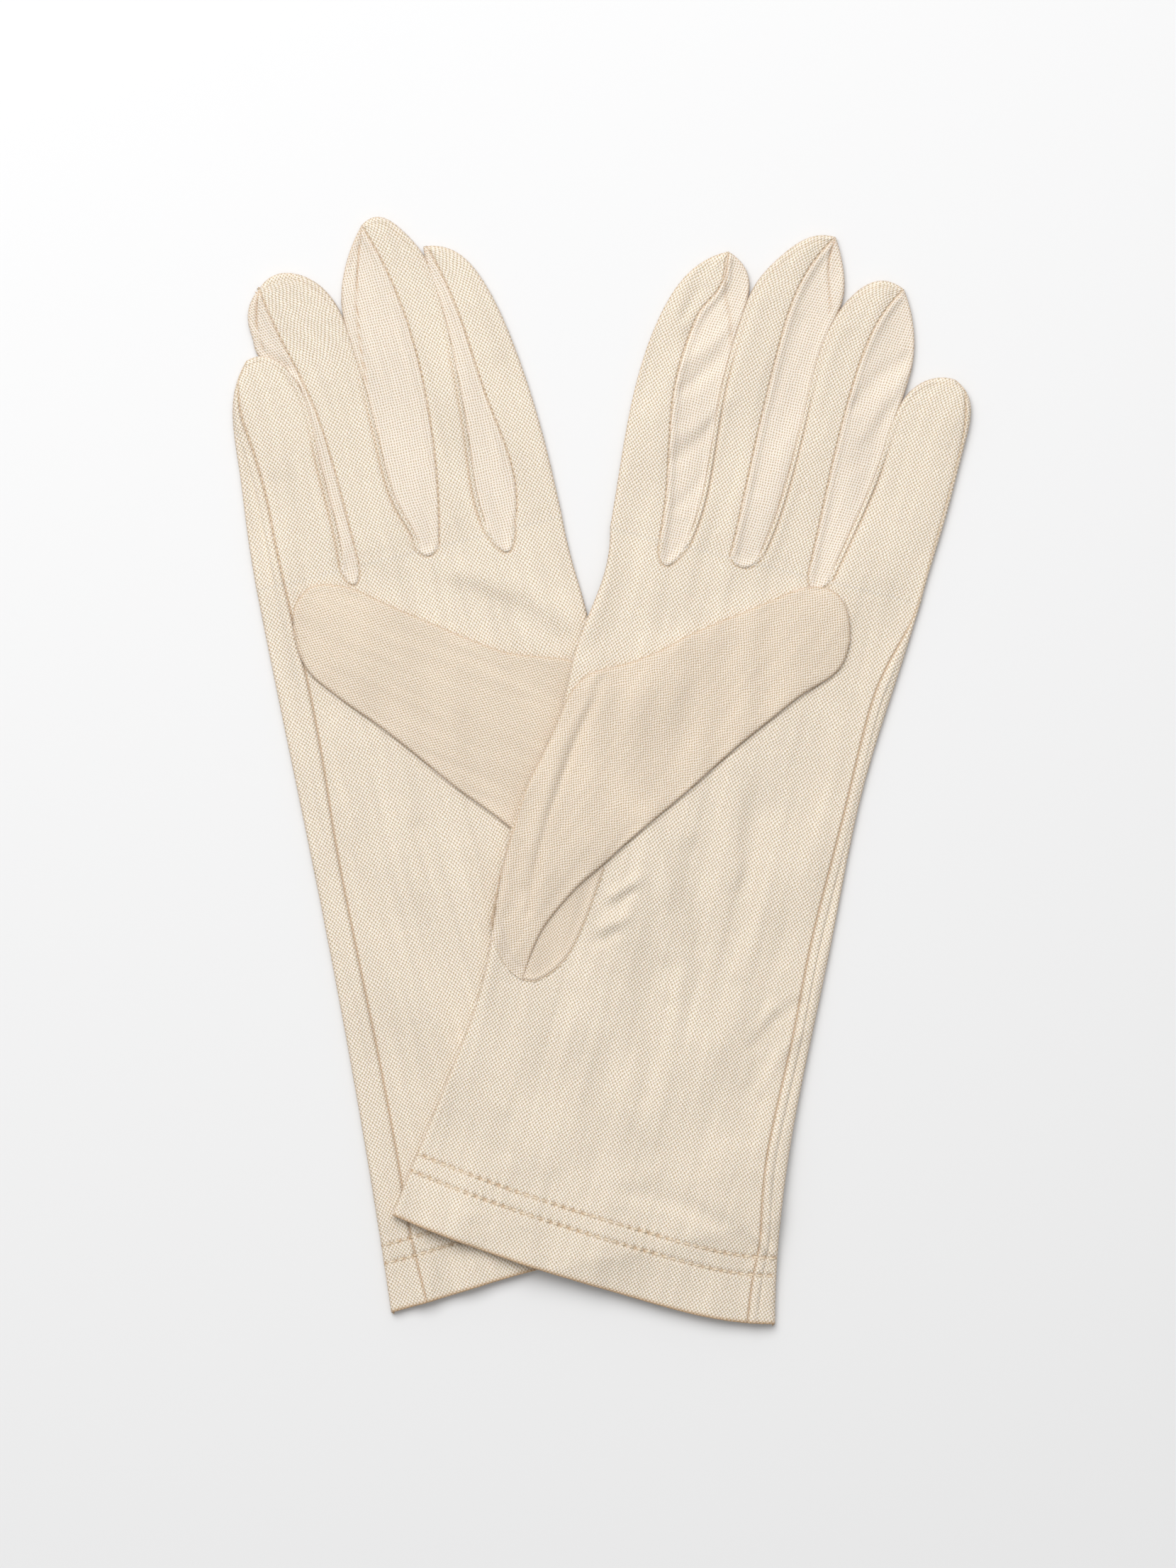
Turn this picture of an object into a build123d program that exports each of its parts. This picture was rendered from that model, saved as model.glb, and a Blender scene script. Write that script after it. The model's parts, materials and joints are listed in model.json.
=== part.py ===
from build123d import *
import math
import os

# A pair of light knitted dress gloves laid flat, palms up, one crossing over the other.
# Units are millimetres. +Z is up, fingers point towards +Y, and the origin is on the
# table under the middle of the pair. The right-hand glove lies underneath, on the -X
# side; the left-hand glove lies on top of it, on the +X side.
#
# Every glove is drawn in its own flat pattern frame: "across" runs from the little
# finger side (-) to the index side (+), and "along" runs from the cuff (-) to the
# fingertips (+), with 0 on the knuckle line where all four fingers fold up.

# ---------------------------------------------------------------- driving dimensions
CLOTH = 0.5            # one layer of cloth with its loft
POUCH = 2.4            # back and palm layers with the flat hollow between them
THUMB_POUCH = 1.8      # front and back layers of the thumb
THUMB_LIFT = 0.5       # the folded thumb clears the palm under it by this
GUSSET = 0.2           # single layer of thumb cloth lying on the palm
SEAM_HEIGHT = 0.2      # stitches standing proud of the palm
STITCH_WIDTH = 0.6
FOLD_WIDTH = 1.2       # width of a folded or seamed edge between the two layers
SEAM_ALLOWANCE = 3.5   # width of the side seam's turned-in edges
FINGER_GAP = 0.5       # between neighbouring fingers
HINGE_GAP = 0.3        # between a finger or thumb and the hand it folds on
TILT = 13.7            # each glove leans outwards by this many degrees
HEM_DEPTH = 13.0
HEM_ROWS = (12.5, 17.0)  # distance of the two stitch rows from the cuff edge
HEM_ENDS = (-42.2, 46.0)  # across positions of the hem's ends inside the edges
OVERLAP_RISE = 5.0     # height of the upper glove where it lies on the lower one
RISE_START = -6.5      # the rise begins this far outside the lower glove's edge
RISE_END = 1.0         # and is complete this far inside it
FAR = 400.0            # larger than the pair

# The middle of each glove's knuckle line, in the glove's own tilted axes.
ORIGIN = {"right": (-34.8, 66.0), "left": (-25.0, 61.0)}
# +1 puts the index side towards +X, -1 towards -X.
INDEX_SIDE = {"right": 1.0, "left": -1.0}

# Edges between neighbouring fingers, from the knuckle line upwards.
EDGES = {
    "right": {
        "index_middle": [(21.5, 0), (20.8, 6), (21.9, 23.5), (23.2, 43), (23.1, 62)],
        "middle_ring": [(3.4, 0), (3.3, 3), (1.3, 10), (-0.2, 22), (-0.2, 38),
                        (-1.2, 54)],
        "ring_little": [(-16.4, 0), (-15.8, 15), (-16.0, 29), (-15.9, 42)],
    },
    "left": {
        "index_middle": [(19.0, 0), (17.7, 10), (18.3, 25), (19.4, 42), (18.6, 60)],
        "middle_ring": [(0.5, 0), (-1.2, 9), (-2.3, 24), (-2.4, 44), (-3.2, 60)],
        "ring_little": [(-18.4, 0), (-21.2, 14), (-23.8, 30), (-25.2, 45)],
    },
}

# Free outlines beyond those edges; each list ends at the finger's pointed tip.
TIPS = {
    "right": {
        "index": {"near": [(40.0, 0), (40.2, 18), (38.4, 45), (35.2, 61), (30.0, 71),
                           (22.8, 74.5)],
                  "far": [(22.6, 69), (22.8, 74.5)]},
        "middle": {"near": [(21.6, 72), (18.0, 79.5), (13.0, 84.5), (8.0, 83.5)],
                   "far": [(-1.0, 64.5), (2.2, 75), (8.0, 83.5)]},
        "ring": {"near": [(-3.2, 66), (-7.5, 73), (-14.5, 76.5), (-21.0, 74.0)],
                 "far": [(-17.6, 51.5), (-23.5, 59), (-25.5, 66), (-21.0, 74.0)]},
        "little": {"near": [(-17.8, 50), (-22.5, 56.5), (-28.5, 57.0)],
                   "far": [(-39.8, 0), (-38.7, 14), (-36.8, 31), (-33.4, 50),
                           (-28.5, 57.0)]},
    },
    "left": {
        "index": {"near": [(38.2, 0), (39.6, 18), (40.4, 37), (38.6, 55), (34.0, 67.5),
                           (25.5, 75.0)],
                  "far": [(18.7, 68.5), (25.5, 75.0)]},
        "middle": {"near": [(17.0, 68), (12.0, 77.5), (6.0, 83.6), (0.0, 85.0)],
                   "far": [(-4.9, 71), (-3.3, 78.5), (0.0, 85.0)]},
        "ring": {"near": [(-7.0, 70.5), (-12.0, 76.2), (-20.0, 76.2)],
                 "far": [(-25.8, 54), (-24.4, 67), (-20.0, 76.2)]},
        "little": {"near": [(-28.0, 52), (-33.0, 56.2), (-38.0, 57.0)],
                   "far": [(-43.0, 0), (-43.9, 20), (-44.3, 42), (-42.8, 53),
                           (-38.0, 57.0)]},
    },
}

# Seam between the palm strip and the side strip (fourchette) on each finger's top.
FINGER_SEAMS = {
    "right": {
        "index": [(27.8, 0), (30.6, 14), (28.6, 33), (27.0, 53), (22.8, 74.5)],
        "middle": [(8.0, 0), (11.0, 14), (13.3, 32), (13.4, 58), (8.0, 83.5)],
        "ring": [(-13.0, 0), (-13.2, 20), (-15.0, 44), (-19.5, 64), (-21.0, 74.0)],
    },
    "left": {
        "index": [(25.3, 0), (27.5, 18), (30.8, 40), (29.7, 56), (25.5, 75.0)],
        "middle": [(6.8, 0), (7.3, 24), (7.5, 52), (6.0, 71), (0.0, 85.0)],
        "ring": [(-13.4, 0), (-12.9, 24), (-13.1, 50), (-15.6, 67), (-20.0, 76.2)],
    },
}

# The hand from the knuckle line to the cuff, and the cuff edge from index side to
# little finger side.
HAND = {
    "right": {
        "index_side": [(40.0, 0), (39.8, -13), (40.3, -27), (39.4, -45), (43.2, -68),
                       (44.5, -85), (42.4, -118), (44.8, -145), (51.0, -185.2)],
        "little_side": [(-39.8, 0), (-41.0, -30), (-42.9, -82), (-45.7, -133),
                        (-50.0, -186.3)],
        "cuff": [(51.0, -185.2), (20.0, -184.9), (-20.0, -184.8), (-40.0, -186.0),
                 (-50.0, -186.3)],
    },
    "left": {
        "index_side": [(38.2, 0), (36.9, -13), (39.3, -32), (39.2, -48), (43.3, -69),
                       (44.5, -85), (42.3, -118), (44.6, -143), (50.5, -182.6)],
        "little_side": [(-43.0, 0), (-41.4, -24), (-40.0, -46), (-41.4, -90),
                        (-43.3, -140), (-50.4, -186.6)],
        "cuff": [(50.5, -182.6), (9.7, -187.3), (-11.0, -188.4), (-36.0, -188.8),
                 (-50.4, -186.6)],
    },
}

# Bottoms of the slits between fingers: across position and depth under the knuckles.
CROTCHES = {
    "right": [(22.6, 5.5), (4.6, 2.0), (-16.2, 4.7)],
    "left": [(19.3, 6.0), (0.6, 2.0), (-18.2, 2.8)],
}
CROTCH_WIDTH = 3.0

# The thumb folds over the palm. Its free part lies between the fold line and the tip;
# upper and lower edges run from the fold line to the tip.
THUMB = {
    "right": {
        "fold": [(32.2, -35.9), (7.7, -73.7)],
        "upper": [(32.2, -35.9), (17.8, -30.4), (2.8, -19.8), (-11.0, -9.4),
                  (-22.0, -3.0), (-29.5, -4.8), (-33.1, -13.5)],
        "lower": [(7.7, -73.7), (-3.4, -59.8), (-18.4, -39.9), (-30.5, -26.0),
                  (-33.1, -13.5)],
        "base": [(7.7, -73.7), (20.0, -92), (26.0, -108), (33.0, -116), (41.5, -108),
                 (42.6, -88), (41.8, -71), (38.0, -54), (37.0, -43), (32.2, -35.9)],
    },
    "left": {
        "fold": [(31.7, -35.7), (31.7, -106.0)],
        "upper": [(31.7, -35.7), (23.6, -31.2), (13.0, -22.5), (0.0, -13.0),
                  (-11.3, -4.6), (-20.0, -2.6), (-26.8, -11.5)],
        "lower": [(31.7, -106.0), (24.4, -90.3), (9.3, -68.8), (-2.0, -53.0),
                  (-13.3, -37.4), (-25.0, -24.0), (-26.8, -11.5)],
        "base": [(31.7, -116.5), (37.0, -115), (41.7, -108), (42.8, -88), (41.9, -71),
                 (38.0, -54), (36.6, -43), (31.7, -35.7)],
    },
}
# Oval seam that sets the thumb into the palm, round the foot of the thumb.
THUMB_SEAM = [(43.0, -109.5), (38.2, -115.4), (32.5, -118), (26.3, -115.4),
              (21.0, -105.5), (18.8, -92), (18.2, -84)]
GUSSET_EDGE = [(31.4, -116.2), (26.3, -113.0), (21.8, -104.0), (20.0, -92), (21.5, -79),
               (26.0, -72), (31.4, -68)]


# ------------------------------------------------------------------------- helpers
def spot(glove, point):
    """A pattern point as (x, y) on the table."""
    across = point[0] + ORIGIN[glove][0]
    along = point[1] + ORIGIN[glove][1]
    tilt = math.radians(TILT)
    side = INDEX_SIDE[glove]
    x = side * (across * math.cos(tilt) - along * math.sin(tilt))
    y = across * math.sin(tilt) + along * math.cos(tilt)
    return (x, y)


def curve(glove, points):
    """A smooth edge through pattern points, or a straight one between two."""
    places = [spot(glove, point) for point in points]
    if len(places) == 2:
        return Edge.make_line(*places)
    return Edge.make_spline([Vector(x, y) for x, y in places])


def region(glove, *curves):
    """The flat face bounded by pattern curves that follow each other end to end."""
    return Face(Wire([curve(glove, points) for points in curves]))


def shifted(points, across=0.0, along=0.0):
    return [(u + across, a + along) for u, a in points]


def inset(points, amount):
    """An open line of pattern points moved sideways, to its right when positive."""
    moved = []
    for number, (u, a) in enumerate(points):
        before = points[max(number - 1, 0)]
        after = points[min(number + 1, len(points) - 1)]
        run = math.hypot(after[0] - before[0], after[1] - before[1])
        across = (after[1] - before[1]) / run
        along = -(after[0] - before[0]) / run
        moved.append((u + amount * across, a + amount * along))
    return moved


def strip(glove, points, width):
    """A band along a line of points, on its right side when width is positive."""
    other = inset(points, width)
    return region(glove, points, [points[-1], other[-1]], other[::-1],
                  [other[0], points[0]])


def within(face, outline):
    """The part of a face that lies inside an outline."""
    return (face & outline).faces().sort_by(SortBy.AREA)[-1]


def largest(shape):
    """The main solid of a cut, without the slivers that a pointed end leaves."""
    return shape.solids().sort_by(SortBy.VOLUME)[-1]


def solid_between(face, low, high):
    """The prism over a face between two heights."""
    return Solid.extrude(face.moved(Location((0, 0, low))), Vector(0, 0, high - low))


def rise_band(low, high):
    """The layer between two heights above whatever the upper glove lies on: the table
    on its own side, then a rise over the lower glove's index-side edge."""
    top = spot("right", (39.9, -34.8))
    bottom = spot("right", (51.0, -185.3))
    length = math.dist(top, bottom)
    line = Vector((bottom[0] - top[0]) / length, (bottom[1] - top[1]) / length, 0)
    inwards = Vector(line.Y, -line.X, 0)
    bed = [(-FAR, 0.0), (RISE_START, 0.0), (RISE_END, OVERLAP_RISE), (FAR, OVERLAP_RISE)]
    corners = [(s, z + low) for s, z in bed] + [(s, z + high) for s, z in bed[::-1]]
    base = Vector(*top) - line * FAR
    places = [base + inwards * s + Vector(0, 0, z) for s, z in corners]
    face = Face(Wire.make_polygon(places))
    return Solid.extrude(face, line * (2 * FAR))


def hand_layer(glove, face, low, high):
    """A layer of the hand or thumb; on the upper glove it follows the rise."""
    if glove == "right":
        return solid_between(face, low, high)
    prism = solid_between(face, -1.0, OVERLAP_RISE + high + 1.0)
    return prism.intersect(rise_band(low, high))


def write(name, *solids):
    """One STEP for one node, as a single solid or a group of separate ones."""
    pieces = [piece for solid in solids for piece in solid.solids()]
    shape = pieces[0] if len(pieces) == 1 else Compound(pieces)
    shape.label = name
    export_step(shape, f"parts/{name}.step")


# ------------------------------------------------------------------------- fingers
def finger_sides(glove, name):
    """A finger's index-side and little-side outlines, from the knuckles to the tip."""
    edges, tips = EDGES[glove], TIPS[glove][name]
    half = FINGER_GAP / 2
    towards_index = {"middle": "index_middle", "ring": "middle_ring",
                     "little": "ring_little"}
    towards_little = {"index": "index_middle", "middle": "middle_ring",
                      "ring": "ring_little"}
    near, far = tips["near"], tips["far"]
    if name in towards_index:
        near = shifted(edges[towards_index[name]], across=-half) + near
    if name in towards_little:
        far = shifted(edges[towards_little[name]], across=half) + far
    start = HINGE_GAP / 2
    near = [(near[0][0], start)] + near[1:]
    far = [(far[0][0], start)] + far[1:]
    return near, far


def finger(glove, name):
    """Back strip, palm strip and the side strips that join them all round."""
    near, far = finger_sides(glove, name)
    whole = region(glove, near, far[::-1], [far[0], near[0]])
    label = f"{glove}_{name}"
    write(f"{label}_back_strip", solid_between(whole, 0, CLOTH))
    near_wall = within(strip(glove, near, -FOLD_WIDTH), whole)
    far_wall = within(strip(glove, far, FOLD_WIDTH), whole)
    far_side = solid_between(far_wall, CLOTH, POUCH - CLOTH)
    near_side = largest(solid_between(near_wall, CLOTH, POUCH - CLOTH) - far_side)
    if name in FINGER_SEAMS[glove]:
        seam = FINGER_SEAMS[glove][name]
        seam = [(seam[0][0], HINGE_GAP / 2)] + seam[1:]
        palm = region(glove, near, seam[::-1], [seam[0], near[0]])
        side = region(glove, seam, far[::-1], [far[0], seam[0]])
        side_top = solid_between(side, POUCH - CLOTH, POUCH)
        far_side = far_side + side_top
    else:
        palm = whole
    write(f"{label}_palm_strip", solid_between(palm, POUCH - CLOTH, POUCH))
    near_name = "folded_edge" if name == "index" else "fourchette_index_side"
    far_name = "side_seam" if name == "little" else "fourchette_little_side"
    write(f"{label}_{near_name}", near_side)
    write(f"{label}_{far_name}", far_side)


# ---------------------------------------------------------------------------- hand
def hand_outline(glove):
    """Index side, cuff and little-finger side of the hand below the knuckle line."""
    hand = HAND[glove]
    start = -HINGE_GAP / 2
    index_side = [(hand["index_side"][0][0], start)] + hand["index_side"][1:]
    little_side = [(hand["little_side"][0][0], start)] + hand["little_side"][1:]
    return index_side, hand["cuff"], little_side


def hand(glove):
    """Back and palm layers, joined along the folded edge and the side seam."""
    index_side, cuff, little_side = hand_outline(glove)
    whole = region(glove, index_side, cuff, little_side[::-1],
                   [little_side[0], index_side[0]])
    write(f"{glove}_back", hand_layer(glove, whole, 0, CLOTH))
    write(f"{glove}_palm", hand_layer(glove, whole, POUCH - CLOTH, POUCH))
    fold = strip(glove, index_side, FOLD_WIDTH)
    seam = strip(glove, little_side, -SEAM_ALLOWANCE)
    between = (CLOTH, POUCH - CLOTH)
    write(f"{glove}_folded_edge", hand_layer(glove, fold, *between))
    write(f"{glove}_side_seam", hand_layer(glove, seam, *between))


def across_hem(glove, distance):
    """A line across the glove at a distance above the cuff edge, between the side
    seam and the folded edge."""
    line = shifted(HAND[glove]["cuff"], along=distance)
    index_end, little_end = line[0][0], line[-1][0]
    scale = (HEM_ENDS[1] - HEM_ENDS[0]) / (index_end - little_end)
    return [(HEM_ENDS[0] + (u - little_end) * scale, a) for u, a in line]


def hem(glove):
    """The cuff's turned-in hem: one band inside each layer, and two stitch rows."""
    edge = across_hem(glove, 0.3)
    inner = across_hem(glove, HEM_DEPTH)
    band = region(glove, edge, [edge[-1], inner[-1]], inner[::-1], [inner[0], edge[0]])
    write(f"{glove}_hem_back", hand_layer(glove, band, CLOTH, 1.8 * CLOTH))
    low = POUCH - 1.8 * CLOTH
    write(f"{glove}_hem_palm", hand_layer(glove, band, low, POUCH - CLOTH))
    rows = []
    for distance in HEM_ROWS:
        row = strip(glove, across_hem(glove, distance), STITCH_WIDTH)
        rows.append(hand_layer(glove, row, POUCH, POUCH + SEAM_HEIGHT))
    write(f"{glove}_hem_stitching", *rows)


def crotches(glove):
    """The bottoms of the side strips, where neighbouring fingers part."""
    solids = []
    for across, depth in CROTCHES[glove]:
        half = CROTCH_WIDTH / 2
        top = -HINGE_GAP / 2
        slot = region(glove, [(across - half, top), (across - 0.8 * half, -0.6 * depth),
                              (across, -depth), (across + 0.8 * half, -0.6 * depth),
                              (across + half, top)],
                      [(across + half, top), (across - half, top)])
        solids.append(hand_layer(glove, slot, CLOTH, POUCH - CLOTH))
    write(f"{glove}_fourchette_crotches", *solids)


# --------------------------------------------------------------------------- thumb
def thumb(glove):
    """The folded-over thumb: a free pouch, its foot on the palm and its seam."""
    shape = THUMB[glove]
    low = POUCH + THUMB_LIFT
    high = low + THUMB_POUCH
    # Towards the tip is on the fold line's right, seen from its upper end.
    free_line = inset(shape["fold"], HINGE_GAP / 2)
    foot_line = inset(shape["fold"], -HINGE_GAP / 2)
    upper = [free_line[0]] + shape["upper"][1:]
    lower = [free_line[1]] + shape["lower"][1:]
    whole = region(glove, upper, lower[::-1], [lower[0], upper[0]])
    write(f"{glove}_thumb_back", hand_layer(glove, whole, low, low + CLOTH))
    write(f"{glove}_thumb_front", hand_layer(glove, whole, high - CLOTH, high))
    between = (low + CLOTH, high - CLOTH)
    upper_band = within(strip(glove, upper, -FOLD_WIDTH), whole)
    lower_band = within(strip(glove, lower, FOLD_WIDTH), whole)
    upper_wall = hand_layer(glove, upper_band, *between)
    lower_wall = hand_layer(glove, lower_band, *between)
    write(f"{glove}_thumb_edges", upper_wall, lower_wall - upper_wall)

    outline = [foot_line[1]] + shape["base"][1:-1] + [foot_line[0]]
    if glove == "left":
        outline = [(foot_line[1][0], shape["base"][0][1])] + outline[1:]
    foot = region(glove, outline, [outline[-1], outline[0]])
    write(f"{glove}_thumb_foot", hand_layer(glove, foot, POUCH, high))
    gusset = region(glove, GUSSET_EDGE, [GUSSET_EDGE[-1], GUSSET_EDGE[0]])
    if glove == "left":
        write(f"{glove}_thumb_gusset", hand_layer(glove, gusset, POUCH, POUCH + GUSSET))
    visible = THUMB_SEAM if glove == "left" else THUMB_SEAM[:-2]
    seam = strip(glove, visible, -STITCH_WIDTH)
    write(f"{glove}_thumb_seam", hand_layer(glove, seam, POUCH, POUCH + SEAM_HEIGHT))


os.makedirs("parts", exist_ok=True)
for side_name in ("right", "left"):
    hand(side_name)
    hem(side_name)
    crotches(side_name)
    thumb(side_name)
    for finger_name in ("index", "middle", "ring", "little"):
        finger(side_name, finger_name)
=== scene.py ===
import json
import math

import bmesh
import bpy
import numpy as np
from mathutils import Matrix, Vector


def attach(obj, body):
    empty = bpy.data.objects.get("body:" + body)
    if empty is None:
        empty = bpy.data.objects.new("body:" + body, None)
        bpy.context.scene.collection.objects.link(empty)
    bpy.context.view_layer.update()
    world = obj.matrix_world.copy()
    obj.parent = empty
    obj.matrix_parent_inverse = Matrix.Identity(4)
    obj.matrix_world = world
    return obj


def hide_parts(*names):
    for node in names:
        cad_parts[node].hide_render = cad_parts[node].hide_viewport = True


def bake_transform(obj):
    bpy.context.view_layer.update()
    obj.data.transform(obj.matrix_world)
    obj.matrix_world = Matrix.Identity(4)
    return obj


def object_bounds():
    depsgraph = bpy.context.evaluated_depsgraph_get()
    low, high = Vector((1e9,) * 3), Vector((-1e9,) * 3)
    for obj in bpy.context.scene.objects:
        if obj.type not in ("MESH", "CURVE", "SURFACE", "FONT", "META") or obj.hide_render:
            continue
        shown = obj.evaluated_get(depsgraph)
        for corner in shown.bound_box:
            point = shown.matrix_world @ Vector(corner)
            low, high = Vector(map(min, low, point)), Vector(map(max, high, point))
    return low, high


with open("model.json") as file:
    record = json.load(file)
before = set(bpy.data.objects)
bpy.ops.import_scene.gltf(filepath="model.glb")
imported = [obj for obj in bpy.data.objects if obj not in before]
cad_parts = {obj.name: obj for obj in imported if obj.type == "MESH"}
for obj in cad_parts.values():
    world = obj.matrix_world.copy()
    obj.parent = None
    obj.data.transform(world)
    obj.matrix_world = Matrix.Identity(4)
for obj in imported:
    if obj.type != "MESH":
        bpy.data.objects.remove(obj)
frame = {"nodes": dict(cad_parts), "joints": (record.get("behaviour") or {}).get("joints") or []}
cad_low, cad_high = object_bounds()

# Two knitted dress gloves, palms up, the left-hand one lying across the right-hand one.
# Shapes are worked out in millimetres in each glove's pattern frame: "across" runs from
# the little finger side to the index side, "along" from the cuff to the fingertips, and
# the origin is the middle of the knuckle line, where the record has the finger joints.

MM = 0.001
CLOTH = 0.45            # thickness of one layer
POUCH = 2.3             # two layers lying flat with a little air between them
EDGE_RADIUS = 1.15      # rounding of a folded or seamed edge
THUMB_POUCH = 1.35
THUMB_RADIUS = 0.95     # rounding of the thumb's edges
THUMB_FOOT = 9.0        # from the thumb's base seam to where it has its full height
THUMB_GAP = 0.12        # between the thumb and the palm under it
BED_GAP = 0.15          # between the upper glove and the lower one
NEAR_GROWTH = 0.15      # how far a finger's index side leans over its neighbour
FAR_GROWTH = 0.85       # how far its little side goes under the next finger
TUCK = 1.2              # how far a finger's cloth runs on under the hand's
TIP_SHARE = 0.75        # share of a finger's length below its rounded tip
LOCAL_GROWTH = 2.4      # how far a strip bulges where the next finger lies over it
PALM_DOME = 0.22        # how far a finger's palm strip rises between its seams
WALL_COLUMNS = 7        # columns of the back that go with the strip on the index side
OFF_TABLE = 0.02        # under the cloth, so that it doesn't flicker against the table
THUMB_CLOTH = 0.3       # thickness of the thumb's finer cloth
EDGE_SHADE = 0.6        # how much painted shade darkens the cloth where it turns over an edge
FOLD_DEPTH = 1.35       # how much deeper the folds are than in their table
FOLD_LIMIT = 0.95
HEM_DEPTH = 13.0
STITCH_PITCH = 2.5
STITCH_START = 0.3
HEM_ROWS = (12.4, 17.0)
HEM_THREAD = 0.30       # radius of a hem stitch
SEAM_THREAD = 0.14
FINGERS = ("index", "middle", "ring", "little")
INDEX_SIDE = {"right": 1.0, "left": -1.0}
JOINTS = {joint["name"]: joint for joint in frame["joints"]}

# Distances from an edge, or from a seam, at which the cloth has a row of points.
EDGE_STEPS = np.array([0.0, 0.08, 0.28, 0.6, 1.0, 1.5, 2.1])
SEAM_STEPS = np.array([0.0, 0.16, 0.34, 0.6, 0.95, 1.3, 1.6, 2.0])

# Side seam of each glove, in pattern millimetres from the little fingertip to the cuff.
SIDE_SEAM = {
    "right": [(-31, 56), (-33, 45), (-32.2, 34), (-31.8, 22), (-32.4, 8), (-32.6, -8),
        (-32.6, -24), (-33.6, -45), (-35.6, -70), (-36.8, -98), (-37.6, -120), (-39, -147),
        (-40.4, -168), (-40.5, -190)],
    "left": [(-41, 55.5), (-43.3, 45), (-43.4, 30), (-42.8, 12), (-42, -4), (-38.4, -18),
        (-36.8, -30), (-36.7, -58), (-36.4, -90), (-37.5, -115), (-38, -142), (-39.4, -155),
        (-41.6, -167), (-42.2, -178), (-44, -192)],
}

# The second seam of a side strip, where it shows near a fingertip.
BACK_SEAMS = {
    "right_middle": [(8, 83.5), (4.8, 74.1), (2.6, 66.6), (0.6, 54.6), (-0.3, 44)],
    "right_ring": [(-21, 74), (-22.9, 69), (-24, 63.1), (-23.6, 58.5)],
    "left_index": [(25.5, 75), (24, 65.2), (21, 58), (19.5, 52.5)],
    "left_middle": [(0, 85), (0.2, 78.6), (-1.6, 71.6), (-3.4, 66)],
}

# Stitch line round the bottom of each slit between two fingers, from the seam on one
# finger to the edge of the next.
CROTCHES = {
    "right": [
        [(28, 3), (27.9, 0), (27.1, -3), (25.4, -5.7), (23.3, -5.7), (21.4, -3.2), (20.1, 0),
         (19.6, 3)],
        [(8.6, 3), (8, 0), (6.6, -1.7), (4.7, -2.3), (3, -1.5), (1.9, 0), (1.2, 3)],
        [(-13, 3), (-13, 0), (-13.6, -3.2), (-15, -4.9), (-16.7, -4.2), (-17.7, -1.8), (-17.9, 0),
         (-17.8, 3)],
    ],
    "left": [
        [(25.5, 3), (25.2, 0), (24.8, -3.4), (23.4, -6), (21.4, -6.3), (19.4, -4.2), (18, -1.6),
         (17.4, 0), (16.8, 3)],
        [(6.8, 3), (6.9, 0), (5.6, -1.7), (3.4, -2.4), (1.1, -1.7), (-0.6, 0), (-1.4, 3)],
        [(-13.5, 3), (-13.5, 0), (-14.4, -2.6), (-16.2, -3.5), (-18.2, -2.4), (-19.9, 0),
         (-20.6, 3)],
    ],
}

# The folded thumb: its edge on the index side and fingertip side, its lower edge, and
# the part of its seam that crosses the palm, all starting from the foot of the thumb.
THUMB = {
    "right": {
        "upper": [(43.7, -105.5), (44.3, -95), (44.2, -85), (43, -68), (40.6, -57), (39.2, -47),
            (37.5, -41), (34.5, -37), (31, -35.2), (25.6, -33.4), (17.8, -30.3), (10, -25.1),
            (2.8, -19.8), (-5.1, -14), (-11, -9.4), (-15.8, -5.6), (-21, -3.2), (-25.6, -2.5),
            (-29.2, -4.3), (-32, -7.8), (-33.2, -13.5)],
        "lower": [(32.5, -116.9), (31.6, -110), (28.6, -102), (22.5, -92.5), (15.5, -83),
            (8.7, -74.2), (4.8, -69.3), (-3.4, -59.6), (-11.9, -48.3), (-18.4, -40.2),
            (-25.2, -32.5), (-31.2, -24.6), (-33, -19), (-33.2, -13.5)],
    },
    "left": {
        "upper": [(43.7, -105.5), (44.3, -95), (44.2, -85), (43.1, -69), (41.3, -60.6),
            (39.7, -52), (38.5, -45), (36.4, -40), (33.4, -36.7), (29, -34.4), (23.6, -31.2),
            (18.6, -27.6), (13, -22.6), (6.6, -17.6), (0.1, -13), (-6.2, -8.3), (-11.3, -4.5),
            (-15.5, -2.6), (-19.9, -2.3), (-23.7, -4.4), (-26.3, -8.6), (-27.9, -14)],
        "lower": [(32.5, -116.9), (32.1, -111), (30.9, -104.1), (28.6, -98.2), (24.4, -90.3),
            (19.9, -84), (15, -76.7), (9.3, -68.8), (3.6, -61), (-2, -52.8), (-7.6, -44.8),
            (-13.3, -37.4), (-19, -30.1), (-25, -24), (-27.4, -19.6), (-27.9, -14)],
    },
}
THUMB_BASE = [(43.7, -105.5), (42.4, -107.9), (39.6, -112), (36.4, -115.2), (32.5, -116.9)]
GUSSET_SEAM = [(32.5, -116.9), (29.4, -116.5), (26.3, -113.9), (23.5, -109.9), (21.7, -104.8),
    (20.6, -98.6), (19.8, -92), (19, -84.5)]
GUSSET_HIDDEN = [(33.6, -116.6), (33.2, -111), (32.2, -104.4), (30, -98), (26, -90.4),
    (21.4, -83.6)]

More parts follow.
